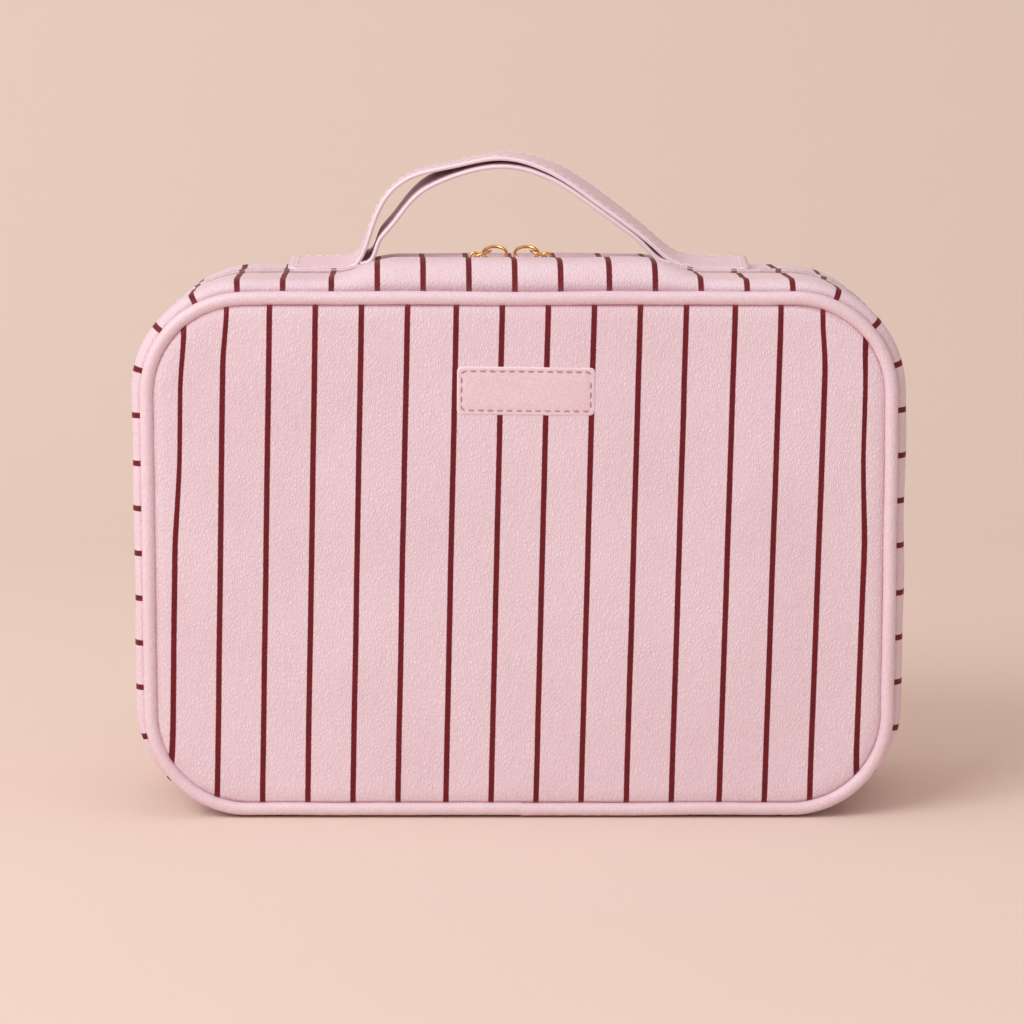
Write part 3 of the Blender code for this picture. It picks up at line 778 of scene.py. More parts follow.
def stitch_row(points, normals, length, gap, radius):
    """Vertices and faces of separate stitches laid along a line, each a small arched capsule."""
    vertices, faces = [], []
    travelled, next_start = 0.0, gap / 2
    spans = []
    for start, end in zip(points, points[1:]):
        spans.append((travelled, start, end))
        travelled += (end - start).length
    spots = []

    def along(distance):
        for (begun, start, end), normal in zip(spans, normals):
            size = (end - start).length
            if begun + size >= distance:
                share = (distance - begun) / max(size, 1e-9)
                return start.lerp(end, share), (end - start).normalized(), normal
        begun, start, end = spans[-1]
        return end.copy(), (end - start).normalized(), normals[-1]

    while next_start + length < travelled:
        spots.append(next_start)
        next_start += length + gap
    rings, around = 7, 6
    for begin in spots:
        base = len(vertices)
        for ring in range(rings):
            share = ring / (rings - 1)
            centre, forward, normal = along(begin + length * share)
            sideways = forward.cross(normal).normalized()
            swell = math.sin(math.pi * (0.12 + 0.76 * share)) ** 0.5
            middle = centre + normal * radius * (swell - 0.55)
            for corner in range(around):
                angle = 2 * math.pi * corner / around
                place = middle + sideways * math.cos(angle) * radius * swell
                vertices.append(place + normal * math.sin(angle) * radius * 0.8 * swell)
        for face in grid_faces(rings, around, closed_columns=True):
            faces.append(tuple(base + index for index in face))
        faces.append(tuple(base + index for index in range(around))[::-1])
        faces.append(tuple(base + (rings - 1) * around + index for index in range(around)))
    return vertices, faces


def stitches(name, rows, length, gap, radius, look):
    """One piece with every stitch of several rows. Each row is (points, normals)."""
    vertices, faces = [], []
    for points, normals in rows:
        more, more_faces = stitch_row(points, normals, length, gap, radius)
        base = len(vertices)
        vertices += more
        faces += [tuple(base + index for index in face) for face in more_faces]
    piece = make_piece(name, vertices, faces, look)
    face_outwards(piece)
    return piece


# ---------------------------------------------------------------- handle

HANDLE_BLEND = ("handle", (0, STRAP_Y, 201 * MM), (0, STRAP_Y, ARCH_BASE_Z + 2 * MM))


def pad_height(x):
    """The height of the rear strip's top, a little clear of its leather."""
    return SEAM_TOP + REAR_OFFSET + ZIP_RISE * lift(x) + 0.4 * MM


def strap_lines():
    """The middle lines of the lower and the upper strap in (x, z).

    The upper one runs from one sewn end to the other, and the lower one ends just inside them.
    """
    lines = []
    arch = curve_through(ARCH, 8)
    for level in (0, 1):
        middle = []
        for index, point in enumerate(arch):
            before, after = arch[max(index - 1, 0)], arch[min(index + 1, len(arch) - 1)]
            along = (after - before).normalized()
            out = Vector((-along.y, along.x))
            share = index / (len(arch) - 1) / PARTED_SHARE
            bow = math.sin(math.pi * min(share, 1.0)) ** 2 * STRAP_PARTING
            middle.append(point + out * level * (STRAP - 0.05 * MM + bow))
        kept = [point for point in middle if point.y > 207 * MM]
        ends = {}
        for sign, foot in zip((-1, 1), LOWER_FEET_X):
            xs = [sign * (PAD_END_X + (PAD_START_X - PAD_END_X) * step / 8) for step in range(9)]
            if level == 0:
                xs = [foot + sign * 1.5 * MM, foot]
            ends[sign] = [Vector((x, pad_height(x) + STRAP / 2)) for x in xs]
        joined = list(ends[-1])
        joined += bend_between(ends[-1], kept[0], kept[1])
        joined += kept
        joined += bend_between(ends[1], kept[-1], kept[-2])[::-1]
        joined += ends[1][::-1]
        lines.append(even_line(joined, 1.5 * MM))
    return lines


def bend_between(pad, finish, further):
    """The strap's curve from its sewn end up into the arch, without its two end points."""
    start, before = pad[-1], pad[-2]
    first = (start - before).normalized()
    second = (finish - further).normalized()
    reach = (finish - start).length * 0.38
    return interpolate_bezier(start, start + first * reach, finish + second * reach, finish, 12)[1:-1]


def even_line(points, step):
    """The same line with its points evenly spaced."""
    lengths = [0.0]
    for start, end in zip(points, points[1:]):
        lengths.append(lengths[-1] + (end - start).length)
    count = round(lengths[-1] / step)
    found, span = [], 0
    for index in range(count + 1):
        target = lengths[-1] * index / count
        while span < len(points) - 2 and lengths[span + 1] < target:
            span += 1
        size = max(lengths[span + 1] - lengths[span], 1e-9)
        found.append(points[span].lerp(points[span + 1], (target - lengths[span]) / size))
    return found


def strap_tilt(x, level):
    """How far the back edge is above the front one in the arch, as a share of the width."""
    right = smooth((x + 15 * MM) / (45 * MM))
    left = 0.0 if level else LEFT_TILT
    return left * (1 - right) + RIGHT_TILT * right


def strap_spot(line, index, across, up, level=1):
    """A point of the strap. across runs from -1 at its front edge to 1 at its back edge."""
    before, after = line[max(index - 1, 0)], line[min(index + 1, len(line) - 1)]
    along = (after - before).normalized()
    out = Vector((-along.y, along.x))
    point = line[index] + out * up
    high = smooth((point.y - 205 * MM) / (20 * MM))
    lean = across * STRAP_HALF * (strap_tilt(point.x, level) * high + PAD_TILT * (1 - high))
    ends = min(index, len(line) - 1 - index)
    curl = 0.8 * MM * max(0.0, 1 - ends / 5) ** 2 * abs(across) ** 3
    return Vector((point.x, STRAP_Y + across * STRAP_HALF, point.y + lean + curl))


def strap(name, line, level):
    """One strap of two glued plies, rounded and painted along its edges."""
    half_thick = STRAP / 2 - 0.02 * MM
    section = []  # (across, up, edge, ply)
    columns = 12
    for step in range(columns + 1):
        share = -1 + 2 * step / columns
        section.append((share * 0.965, half_thick * (1 - 0.12 * share ** 6), 0.0, 1.0))
    for height in (0.55, 0.12, -0.12, -0.55):
        section.append((1.0 - 0.012 * (abs(height) > 0.5), half_thick * height, 1.0, abs(height)))
    for step in range(columns + 1):
        share = 1 - 2 * step / columns
        section.append((share * 0.965, -half_thick * (1 - 0.12 * share ** 6), 0.0, 1.0))
    for height in (-0.55, -0.12, 0.12, 0.55):
        section.append((-1.0 + 0.012 * (abs(height) > 0.5), half_thick * height, 1.0, abs(height)))
    vertices, edge, ply, rub = [], [], [], []
    for index in range(len(line)):
        ends = min(index, len(line) - 1 - index)
        from_end = max(0.0, 3.2 * MM - ends * 1.5 * MM) if level else 0.0
        narrow = 1 - (3.2 * MM - math.sqrt((3.2 * MM) ** 2 - from_end ** 2)) / STRAP_HALF
        for across, up, on_edge, share in section:
            spot = strap_spot(line, index, across * narrow, up, level)
            crease = ripple(spot, 7 * MM, 0.12 * MM, level + 1.0) * (1 - on_edge)
            vertices.append(spot + Vector((0, 0, crease)))
            edge.append(on_edge)
            ply.append(share)
            rub.append(smooth(abs(across) * 12 - 11) * 0.8)
    faces = grid_faces(len(line), len(section), closed_columns=True)
    faces.append(tuple(range(len(section))))
    faces.append(tuple(range(len(vertices) - len(section), len(vertices)))[::-1])
    piece = make_piece(name, vertices, faces, STRAP_LEATHER, edge=edge, ply=ply, rub=rub)
    face_outwards(piece)
    return piece


def handle():
    """Both straps, each one band from sewn end to sewn end, and the rows of stitching along the top one."""
    lower, upper = strap_lines()
    piece = strap("handle_lower_leather", lower, 0)
    settle(piece, "case", "trim_leather", "handle_lower_strap", "handle_lower_bend_left",
           "handle_lower_bend_right", blended=HANDLE_BLEND)
    piece = strap("handle_upper_leather", upper, 1)
    settle(piece, "case", "trim_leather", "handle_upper_strap", "handle_upper_bend_left",
           "handle_upper_bend_right", "handle_end_left", "handle_end_right", blended=HANDLE_BLEND)
    rows = []
    inset = 1 - 2.2 * MM / STRAP_HALF
    for across in (-inset, inset):
        points = [strap_spot(upper, index, across, STRAP / 2) for index in range(1, len(upper) - 1)]
        normals = [Vector((-(b - a).z, 0, (b - a).x)).normalized() for a, b in zip(points, points[1:])]
        rows.append((points, normals))
    for index in (2, len(upper) - 3):
        steps = [-inset + 2 * inset * step / 12 for step in range(13)]
        points = [strap_spot(upper, index, across, STRAP / 2) for across in steps]
        rows.append((points, [Vector((0, 0, 1))] * 12))
    thread = stitches("handle_stitching", rows, 2.6 * MM, 1.0 * MM, 0.28 * MM, STRAP_THREAD)
    settle(thread, "case", "trim_leather", blended=HANDLE_BLEND)


# ---------------------------------------------------------------- label patch


def label_patch(under):
    """A small plain leather patch, sewn on the panel with a running stitch inside its edge."""
    low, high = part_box("label_patch")
    centre = (low + high) / 2
    half_x, half_z = (high.x - low.x) / 2, (high.z - low.z) / 2
    covered = [vertex.co.y for vertex in under.data.vertices
               if low.x < vertex.co.x < high.x and low.z < vertex.co.z < high.z]
    back = (min(covered) + sum(covered) / len(covered)) / 2
    thickness = high.y - low.y
    radius = 1.7 * MM
    outline = []
    for quarter in range(4):
        sign_x, sign_z = ((1, 1), (-1, 1), (-1, -1), (1, -1))[quarter]
        for step in range(7):
            angle = math.radians(90 * quarter + 15 * step)
            outline.append((sign_x * (half_x - radius) + radius * math.cos(angle),
                            sign_z * (half_z - radius) + radius * math.sin(angle)))
    outline = dense_loop(outline, 1.2 * MM)
    tilt = Matrix.Rotation(math.radians(0.5), 3, "Y")
    levels = [(0.0, 0.0, 1.0, 0.5), (0.0, 0.45, 1.0, 0.05), (0.0, 0.8, 1.0, 0.6), (0.35, 1.0, 0.0, 1.0)]
    levels += [(0.9, 1.04, 0.0, 1.0), (1.35, 0.97, 0.0, 1.0), (1.9, 0.97, 0.0, 1.0), (2.6, 1.06, 0.0, 1.0)]
    levels += [(4.2, 1.10, 0.0, 1.0), (6.5, 1.12, 0.0, 1.0)]
    vertices, edge, ply, rub = [], [], [], []
    for inset, up, on_edge, share in levels:
        for x, z in outline:
            shrink_x, shrink_z = 1 - inset * MM / half_x, 1 - inset * MM / half_z
            local = Vector((x * shrink_x, 0, z * shrink_z))
            bend = ripple(local, 14 * MM, 0.12 * MM)
            place = tilt @ local + Vector((centre.x, back - thickness * up - bend, centre.z))
            vertices.append(place)
            edge.append(on_edge)
            ply.append(share)
            rub.append(1.0 if 0.7 < up < 1.02 and inset < 0.5 else 0.0)
    faces = grid_faces(len(levels), len(outline), closed_columns=True)
    faces.append(tuple(range(len(vertices) - len(outline), len(vertices))))
    faces.append(tuple(range(len(outline)))[::-1])
    piece = make_piece("label_patch_leather", vertices, faces, PATCH_LEATHER, edge=edge, ply=ply, rub=rub)
    face_outwards(piece)
    settle(piece, "lid", "trim_leather", "label_patch")
    rim = []
    for x, z in outline + outline[:1]:
        local = Vector((x * (1 - 1.6 * MM / half_x), 0, z * (1 - 1.6 * MM / half_z)))
        rim.append(tilt @ local + Vector((centre.x, back - thickness * 0.98, centre.z)))
    thread = stitches("label_stitching", [(rim, [Vector((0, -1, 0))] * len(outline))], 2.1 * MM, 1.3 * MM,
                      0.26 * MM, SHADED_LABEL_THREAD)
    settle(thread, "lid", "trim_leather")


def dense_loop(outline, step):
    """A closed outline with extra points along its straight runs."""
    found = []
    for start, end in zip(outline, outline[1:] + outline[:1]):
        count = max(1, round(math.dist(start, end) / step))
        for index in range(count):
            share = index / count
            found.append((start[0] + (end[0] - start[0]) * share, start[1] + (end[1] - start[1]) * share))
    return found


# ---------------------------------------------------------------- zip

TOOTH_PITCH = 1.75 * MM


def zip_tapes():
    """The woven tape on each side, with the raised rib that holds the teeth."""
    for prefix, side, body in (("front", FRONT, "lid"), ("back", BACK, "case")):
        profile = [
            (8.5 * MM, 3.9 * MM, ZIP_RISE), (5.5 * MM, 3.9 * MM, ZIP_RISE), (3.4 * MM, 4.0 * MM, ZIP_RISE),
            (2.5 * MM, 4.1 * MM, ZIP_RISE),
        ]
        piece = wall(prefix + "_zip_tape_weave", side, profile, OPEN_RUN, 2.0 * MM, TAPE, 0.8 * MM)
        settle(piece, body, "zip_tape", prefix + "_zip_tape")


def tooth_mesh():
    """One moulded tooth: a rounded block with a waisted head. x along the zip, y inwards, z out."""
    bm = bmesh.new()
    bmesh.ops.create_cube(bm, size=1.0, matrix=Matrix.Diagonal((1.05 * MM, 2.3 * MM, 2.2 * MM, 1.0)))
    bmesh.ops.bevel(bm, geom=bm.edges, offset=0.32 * MM, segments=2, profile=0.5, affect="EDGES")
    for vertex in bm.verts:
        if vertex.co.y < -0.3 * MM:
            vertex.co.x *= 0.8
    vertices = [vertex.co.copy() for vertex in bm.verts]
    faces = [tuple(vertex.index for vertex in face.verts) for face in bm.faces]
    bm.free()
    return vertices, faces


def zip_teeth():
    """Both rows of teeth, half a pitch apart, so that they interlock at the middle."""
    tooth, tooth_faces = tooth_mesh()
    middle_offset = CHAIN_Z - SEAM_TOP - ZIP_RISE - 1.15 * MM
    for prefix, side, body in (("front", FRONT, "lid"), ("back", BACK, "case")):
        vertices, faces = [], []
        count = int(2 * (OPEN_RUN - 2 * MM) / TOOTH_PITCH)
        for index in range(count):
            run = -OPEN_RUN + 2 * MM + (index + (0.5 if side == BACK else 0.0)) * TOOTH_PITCH
            out = seam_at(run)[1]
            centre = shell_point(run, side, 1.05 * MM, middle_offset, ZIP_RISE)
            along = Vector((out.y, 0, -out.x))
            outward = Vector((out.x, 0, out.y))
            base = len(vertices)
            for spot in tooth:
                vertices.append(centre + along * spot.x + Vector((0, side * spot.y, 0)) + outward * spot.z)
            faces += [tuple(base + number for number in face) for face in tooth_faces]
        piece = make_piece(prefix + "_zip_teeth", vertices, faces, GOLD_PLATE)
        face_outwards(piece)
        settle(piece, body, "gold_metal", prefix + "_zip_chain")


def plate_mesh(bm, low, high, taper):
    """A slider's plate: an oblong that narrows at its tail, with rounded edges."""
    middle = (low + high) / 2
    size = high - low
    place = Matrix.Translation(middle) @ Matrix.Diagonal((*size, 1.0))
    made = bmesh.ops.create_cube(bm, size=1.0, matrix=place)
    for vertex in made["verts"]:
        if (vertex.co.x - middle.x) * taper > 0:
            vertex.co.y *= 0.72
    edges = {edge for vertex in made["verts"] for edge in vertex.link_edges}
    upright = [edge for edge in edges if abs(edge.verts[0].co.z - edge.verts[1].co.z) > size.z / 2]
    bmesh.ops.bevel(bm, geom=upright, offset=1.4 * MM, segments=5, profile=0.5, affect="EDGES")


def slider(side_name, sign):
    """The slider's two plates, its post and the small bail that the pull hangs on."""
    node = "zip_slider_" + side_name
    low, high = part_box(node)
    plate = 1.1 * MM
    top = CHAIN_Z + GAP + plate
    bm = bmesh.new()
    plate_mesh(bm, Vector((low.x, low.y, top - plate)), Vector((high.x, high.y, top)), sign)
    plate_mesh(bm, Vector((low.x, low.y, low.z)), Vector((high.x, high.y, low.z + plate)), sign)
    nose = low.x if sign > 0 else high.x
    post = Vector((nose + sign * 2.9 * MM, 0, (top + low.z) / 2))
    place = Matrix.Translation(post) @ Matrix.Diagonal((3, 1, 1, 1))
    bmesh.ops.create_cone(bm, cap_ends=True, segments=16, radius1=0.35 * MM, radius2=0.35 * MM,
                          depth=top - low.z - plate, matrix=place)
    mesh = bpy.data.meshes.new(node + "_body")
    bm.to_mesh(mesh)
    bm.free()
    body = bpy.data.objects.new(node + "_body", mesh)
    bpy.context.scene.collection.objects.link(body)
    mesh.materials.append(GOLD_PLATE)
    rounding = body.modifiers.new("rounding", "BEVEL")
    rounding.width = 0.25 * MM
    rounding.segments = 2
    rounding.limit_method = "ANGLE"
    bake(body)
    centre_x = (low.x + high.x) / 2 + sign * 0.1 * MM
    half_span, height, wire = 1.5 * MM, high.z - top - 0.4 * MM, 0.42 * MM
    path = [Vector((centre_x + half_span * math.cos(math.radians(angle)), 0,
                    top + height * math.sin(math.radians(angle)) ** 0.6)) for angle in range(0, 181, 12)]
    path = [path[0] - Vector((0, 0, 0.6 * MM)), *path, path[-1] - Vector((0, 0, 0.6 * MM))]
    bail = wire_piece(node + "_bail", path, wire, closed=False)
    joined = join([body, bail], node + "_gold")
    settle(joined, side_name + "_slider", "gold_metal", node)


def wire_piece(name, path, radius, closed):
    """A round wire along a line of points."""
    centres, across = list(path), []
    count = len(centres)
    for index in range(count):
        before = centres[(index - 1) % count] if closed else centres[max(index - 1, 0)]
        after = centres[(index + 1) % count] if closed else centres[min(index + 1, count - 1)]
        along = (after - before).normalized()
        first = along.cross(Vector((0, 1, 0)))
        first = first.normalized() if first.length > 0.3 else along.cross(Vector((0, 0, 1))).normalized()
        across.append((first, along.cross(first).normalized()))
    return tube(name, centres, across, lambda index, angle: radius, GOLD_PLATE, around=12, closed=closed)


def pull(side_name, sign):
    """The link through the bail, and the ring that hangs in it."""
    link = "zip_link_" + side_name
    low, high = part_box(link)
    wire = 0.42 * MM
    half = (high.y - low.y) / 2 - wire
    start_x, end_x = (low.x + wire, high.x - wire) if sign < 0 else (high.x - wire, low.x + wire)
    near, far = Vector((start_x, 0, low.z + wire)), Vector((end_x, 0, high.z - wire))
    along = (far - near).normalized()
    straight = (far - near).length - half
    path = [near + Vector((0, y, 0)) for y in (-half * 0.8, 0, half * 0.8)]
    path.append(near + along * half * 0.2 + Vector((0, half, 0)))
    for step in range(13):
        angle = math.radians(90 - 15 * step)
        spot = near + along * (straight + half * math.cos(angle)) + Vector((0, half * math.sin(angle), 0))
        path.append(spot)
    path.append(near + along * half * 0.2 - Vector((0, half, 0)))
    centres, across = path, []
    up = along.cross(Vector((0, 1, 0))).normalized()
    for index in range(len(path)):
        tangent = (path[(index + 1) % len(path)] - path[index - 1]).normalized()
        across.append((up, tangent.cross(up).normalized()))
    piece = tube(link + "_gold", centres, across, lambda index, angle: wire, GOLD_PLATE, around=12)
    settle(piece, side_name + "_link", "gold_metal", link)

    ring = "zip_ring_" + side_name
    low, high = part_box(ring)
    thick = 0.58 * MM
    radius = (high.x - low.x) / 2 - thick
    lean = math.acos(min(1.0, (high.z - low.z - 2 * thick) / 2 / radius))
    centre = (low + high) / 2
    bpy.ops.mesh.primitive_torus_add(major_radius=radius, minor_radius=thick, major_segments=64,
                                     minor_segments=18)
    piece = bpy.context.object
    piece.name = ring + "_gold"
    turn = Matrix.Rotation(math.radians(90) - lean, 4, "X")
    piece.data.transform(Matrix.Translation(centre) @ turn)
    piece.location = (0, 0, 0)
    piece.data.materials.append(GOLD_PLATE)
    piece.data.shade_smooth()
    settle(piece, side_name + "_ring", "gold_metal", ring)


# ---------------------------------------------------------------- inside


def lining(prefix, side):
    """The cloth tray inside a shell: padded floor, soft corners and an edge that ends under the zip tape."""
    floor = LINING_Y - 0.1 * MM
    profile = [
        (floor - 0.1 * MM, -9.0 * MM, 0.0), (floor, -4.4 * MM, 0.0), (floor - 0.9 * MM, -1.8 * MM, 0.0),
        (floor - 3.0 * MM, 0.2 * MM, ZIP_RISE * 0.3), (37.0 * MM, 2.1 * MM, ZIP_RISE * 0.7),
        (22.0 * MM, 2.0 * MM, ZIP_RISE * 0.7), (9.6 * MM, 1.9 * MM, ZIP_RISE * 0.7),
    ]
    rows = curve_through(profile, 4)
    runs = runs_along(FULL_RUN, 4.0 * MM)[:-1]
    vertices, weave = [], []
    for y, offset, rise in rows:
        for run in runs:
            spot = shell_point(run, side, y, offset, rise)
            out = seam_at(run)[1]
            pucker = noise.noise(Vector((run / (7 * MM), y / (20 * MM), side * 3.0))) * 0.25 * MM
            vertices.append(spot - Vector((out.x, 0, out.y)) * abs(pucker))
            weave.append((run, y, 0.0))
    outer = vertices[:len(runs)]
    middle_z = (SEAM_TOP + SEAM_BOTTOM) / 2
    rings = []
    for ring in range(1, 24):
        share = 1 - ring / 24
        row = []
        for spot in outer:
            x, z = spot.x * share, middle_z + (spot.z - middle_z) * share
            swell = 0.35 * MM * noise.noise(Vector((x / (30 * MM), z / (30 * MM), side * 2.0)))
            row.append(Vector((x, side * (floor - 0.15 * MM + min(swell, 0.0)), z)))
        rings.append(row)
    floor_points = [spot for row in rings[::-1] for spot in row]
    weave = [(spot.x, spot.z, 0.0) for spot in floor_points] + weave
    vertices = floor_points + vertices
    faces = grid_faces(len(rings) + len(rows), len(runs), closed_columns=True)
    faces.append(tuple(range(len(runs)))[::-1])
    if side == BACK:
        faces = [face[::-1] for face in faces]
    piece = make_piece(prefix + "_lining_cloth", vertices, faces, LINING, weave=weave)
    thicken(piece, 0.7 * MM)
    settle(piece, "lid" if side == FRONT else "case", "lining", prefix + "_lining")


def pad_box(name, low, high, step):
    """A box of small squares, for a pad to be blown up from."""
    bm = bmesh.new()
    size = high - low
    counts = [max(2, round(extent / step)) for extent in size]
    place = Matrix.Translation((low + high) / 2) @ Matrix.Diagonal((*size, 1))
    bmesh.ops.create_cube(bm, size=1.0, matrix=place)
    for axis in range(3):
        for cut in range(1, counts[axis]):
            corner, normal = low.copy(), Vector((0, 0, 0))
            corner[axis] += size[axis] * cut / counts[axis]
            normal[axis] = 1.0
            everything = bm.verts[:] + bm.edges[:] + bm.faces[:]
            bmesh.ops.bisect_plane(bm, geom=everything, plane_co=corner, plane_no=normal)
    mesh = bpy.data.meshes.new(name)
    bm.to_mesh(mesh)
    bm.free()
    piece = bpy.data.objects.new(name, mesh)
    bpy.context.scene.collection.objects.link(piece)
    mesh.materials.append(DIVIDER_CLOTH)
    mesh.shade_smooth()
    return piece


PAD_SIM_FRAMES = 16


def inflate(piece, cap):
    """Cloth simulation of a stuffed pad. No point ends further than cap from where it started."""
    start = [vertex.co.copy() for vertex in piece.data.vertices]
    cloth = piece.modifiers.new("cloth", "CLOTH")
    cloth.settings.use_pressure = True
    cloth.settings.uniform_pressure_force = 4
    cloth.settings.tension_stiffness = 20
    cloth.settings.effector_weights.gravity = 0
    cloth.point_cache.frame_start = 1
    cloth.point_cache.frame_end = PAD_SIM_FRAMES
    for number in range(1, PAD_SIM_FRAMES + 1):
        bpy.context.scene.frame_set(number)
    bake(piece)
    bpy.context.scene.frame_set(1)
    for vertex, point in zip(piece.data.vertices, start):
        move = vertex.co - point
        if move.length > cap:
            vertex.co = point + move * cap / move.length


def padded_board(node, body):
    """A divider or a base board: two cloth faces over padding, with a bound seam round its edge."""
    low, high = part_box(node)
    shrink = Vector((0.7, 0.7, 0.7)) * MM
    piece = pad_box(node + "_pad", low + shrink, high - shrink, 3.0 * MM)
    inflate(piece, 0.7 * MM)
    thin = min(range(3), key=lambda axis: high[axis] - low[axis])
    middle = (low[thin] + high[thin]) / 2
    others = [axis for axis in range(3) if axis != thin]
    subdivide(piece)
    bake(piece)
    weave, rub = [], []
    for vertex in piece.data.vertices:
        edge_depth = min(min(vertex.co[axis] - low[axis], high[axis] - vertex.co[axis]) for axis in others)
        seam = math.exp(-((edge_depth - 2.6 * MM) / (0.7 * MM)) ** 2)
        vertex.co[thin] -= (vertex.co[thin] - middle) * 0.28 * seam
        weave.append(vertex.co[others[0]])
        weave.append(vertex.co[others[1]])
        weave.append(0.0)
        rub.append(max(0.0, 1 - edge_depth / (2 * MM)))
    piece.data.attributes.new("weave", "FLOAT_VECTOR", "POINT").data.foreach_set("vector", weave)
    piece.data.attributes.new("rub", "FLOAT", "POINT").data.foreach_set("value", rub)
    settle(piece, body, "lining", node)


POCKET_FULLNESS = 1.12
POCKET_PLEATS = 26
POCKET_COLUMNS = 150


def lid_pocket():
    """A slip pocket in the lid: cloth gathered under an elastic band."""
    low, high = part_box("lid_pocket")
    width, height = high.x - low.x, high.z - low.z
    columns, rows = POCKET_COLUMNS, 30
    vertices, weave = [], []
    for row in range(rows + 1):
        up = row / rows
        for column in range(columns + 1):
            share = column / columns
            uneven = noise.noise(Vector((share * 9, 0, 0))) * 2.5
            pleat = 0.45 * MM * math.sin(share * 2 * math.pi * POCKET_PLEATS + uneven)
            pleat *= (0.25 + 0.75 * up) * smooth(min(share, 1 - share) * 14) * smooth(up * 5)
            belly = 0.5 * MM * math.sin(math.pi * up) * smooth(min(share, 1 - share) * 8)
            y = low.y + 0.35 * MM + 0.45 * MM + pleat + belly
            vertices.append(Vector((low.x + width * share, y, low.z + height * up)))
            weave.append((width * share * POCKET_FULLNESS, height * up, 0.0))
    faces = grid_faces(rows + 1, columns + 1)
    pocket = make_piece("lid_pocket_cloth", vertices, faces, DIVIDER_CLOTH, weave=weave)
    settle(pocket, "lid", "lining", "lid_pocket")


def pocket_elastic():
    """The gathered elastic band along the pocket's mouth."""
    pocket_low, pocket_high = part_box("lid_pocket")
    low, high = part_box("lid_pocket_elastic")
    columns, rows = POCKET_COLUMNS, 10
    vertices, weave = [], []
    for row in range(rows + 1):
        up = row / rows
        for column in range(columns + 1):
            share = column / columns
            round_edge = 0.5 * MM * (1 - abs(2 * up - 1) ** 6)
            fade = smooth(min(share, 1 - share) * 20)
            gather = 0.22 * MM * math.sin(share * 2 * math.pi * 2 * POCKET_PLEATS) * fade
            y = low.y + 0.7 * MM + round_edge + gather
            vertices.append(Vector((low.x + (high.x - low.x) * share, y, low.z + (high.z - low.z) * up)))
            weave.append(((pocket_high.x - pocket_low.x) * share, (high.z - low.z) * up, 0.0))
    faces = grid_faces(rows + 1, columns + 1)
    band = make_piece("lid_pocket_elastic_band", vertices, faces, ELASTIC, weave=weave)
    thicken(band, 0.6 * MM, 0.0)
    settle(band, "lid", "trim_leather", "lid_pocket_elastic")


# ---------------------------------------------------------------- stage

CAMERA_PITCH = 8.2
CAMERA_PLACE = Vector((-0.0025, -1.300, 0.2922))
LENS = 124.45


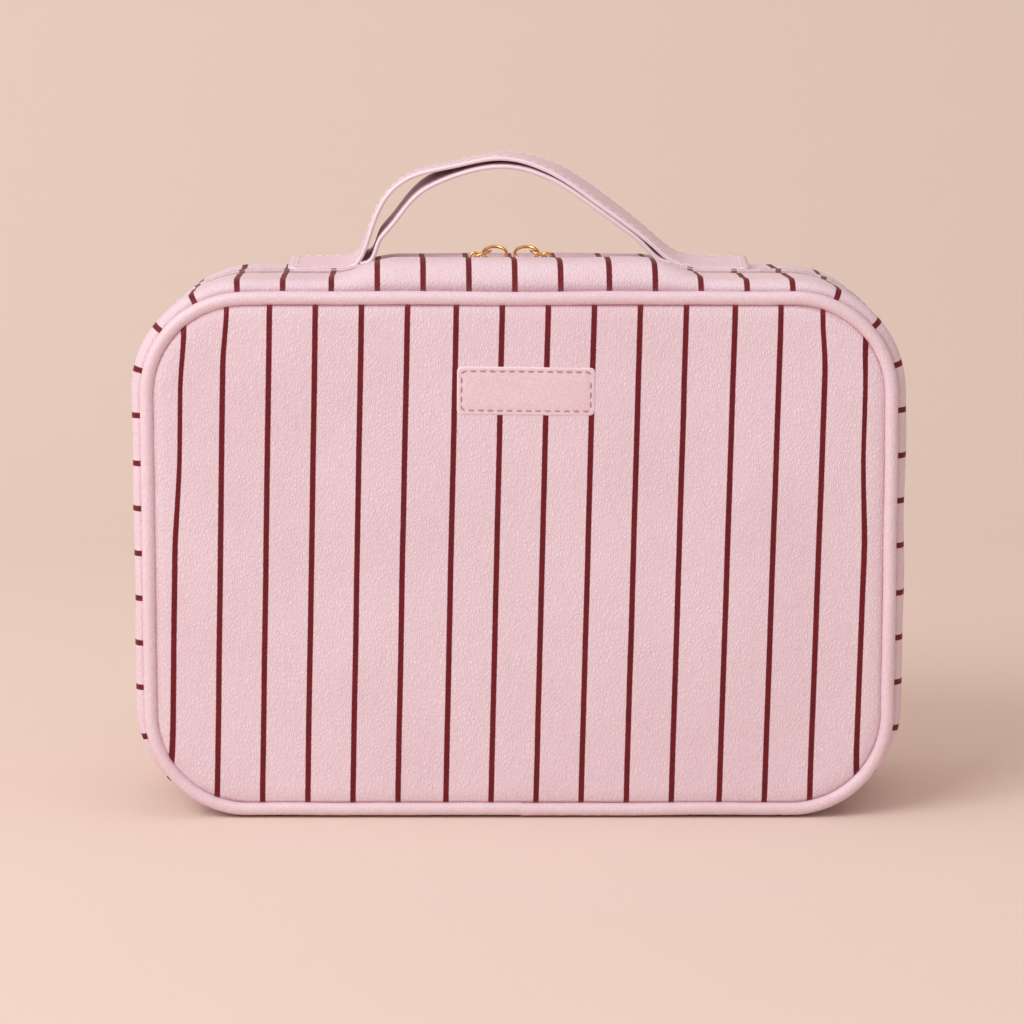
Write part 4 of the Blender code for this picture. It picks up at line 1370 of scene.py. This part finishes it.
def stage():
    """A pale backdrop that curves up behind the case, soft light from the left, and the camera."""
    bend_start = 0.6
    bend = 1.2
    profile = [(-3.0, 0.0), (bend_start, 0.0)]
    for step in range(1, 25):
        angle = math.radians(90 * step / 24)
        profile.append((bend_start + bend * math.sin(angle), bend - bend * math.cos(angle)))
    profile.append((bend_start + bend, 4.0))
    vertices = [Vector((x, y, z)) for y, z in profile for x in (-3.5, 3.5)]
    faces = [face[::-1] for face in grid_faces(len(profile), 2)]
    graph = Graph("backdrop_paper")
    place = graph.place()
    paper = graph.noise(place, 0.02, 3.0)
    colour = graph.mix(graph.math("MULTIPLY", paper, 0.15), srgb(235, 213, 200), srgb(230, 206, 192))
    fibre = graph.noise(place, 1.5, 3.0)
    look = graph.finish(colour, graph.math("ADD", 0.85, graph.math("MULTIPLY", fibre, 0.1)))
    backdrop = make_piece("backdrop", vertices, faces, look)
    remember_rest(backdrop)

    world = bpy.data.worlds.new("soft_room")
    bpy.context.scene.world = world
    world.use_nodes = True
    sky = world.node_tree.nodes["Background"]
    sky.inputs["Color"].default_value = (1.0, 0.97, 0.95, 1.0)
    sky.inputs["Strength"].default_value = 0.44

    area("window_light", (-1.35, -1.4, 1.5), (-0.2, 0.2, 0.15), 1.5, 36.0, (0.97, 0.985, 1.0))
    area("overhead_fill", (0.3, -0.2, 2.2), (0, 0, 0), 2.2, 9.0, (1.0, 0.85, 0.78))
    area("wall_wash", (-1.6, 0.1, 1.1), (0.1, 1.7, 0.9), 0.9, 5.0, (1.0, 0.98, 0.97))
    area("right_bounce", (1.8, -1.0, 0.8), (0, 0, 0.1), 1.6, 2.0, (1.0, 0.86, 0.78))

    lens = bpy.data.cameras.new("camera")
    lens.lens = LENS
    lens.sensor_width = 36
    lens.clip_end = 20
    camera = bpy.data.objects.new("camera", lens)
    bpy.context.scene.collection.objects.link(camera)
    camera.location = CAMERA_PLACE
    camera.rotation_euler = (math.radians(90 - CAMERA_PITCH), 0, 0)
    bpy.context.scene.camera = camera
    bpy.context.scene.view_settings.view_transform = "Standard"


def area(name, place, target, size, power, colour):
    """A square light that faces its target."""
    light = bpy.data.lights.new(name, "AREA")
    light.shape = "SQUARE"
    light.size = size
    light.energy = power
    light.color = colour
    lamp = bpy.data.objects.new(name, light)
    bpy.context.scene.collection.objects.link(lamp)
    lamp.location = place
    lamp.rotation_euler = (Vector(target) - Vector(place)).to_track_quat("-Z", "Y").to_euler()


# ---------------------------------------------------------------- build

for board in ("front_panel_board", "back_panel_board"):
    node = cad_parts[board]
    node.data.materials.clear()
    node.data.materials.append(FIBRE_BOARD)

label_patch(panel("front", FRONT))
panel("back", BACK)
for prefix, side in (("front", FRONT), ("back", BACK)):
    piping(prefix, side)
    lining(prefix, side)
gussets()
base_strip()
handle()
zip_tapes()
zip_teeth()
for side_name, sign in (("left", -1), ("right", 1)):
    slider(side_name, sign)
    pull(side_name, sign)
padded_board("shelf_divider", "case")
padded_board("left_divider", "left_divider")
padded_board("right_divider", "right_divider")
padded_board("front_base_board", "lid")
padded_board("back_base_board", "case")
lid_pocket()
pocket_elastic()
stage()
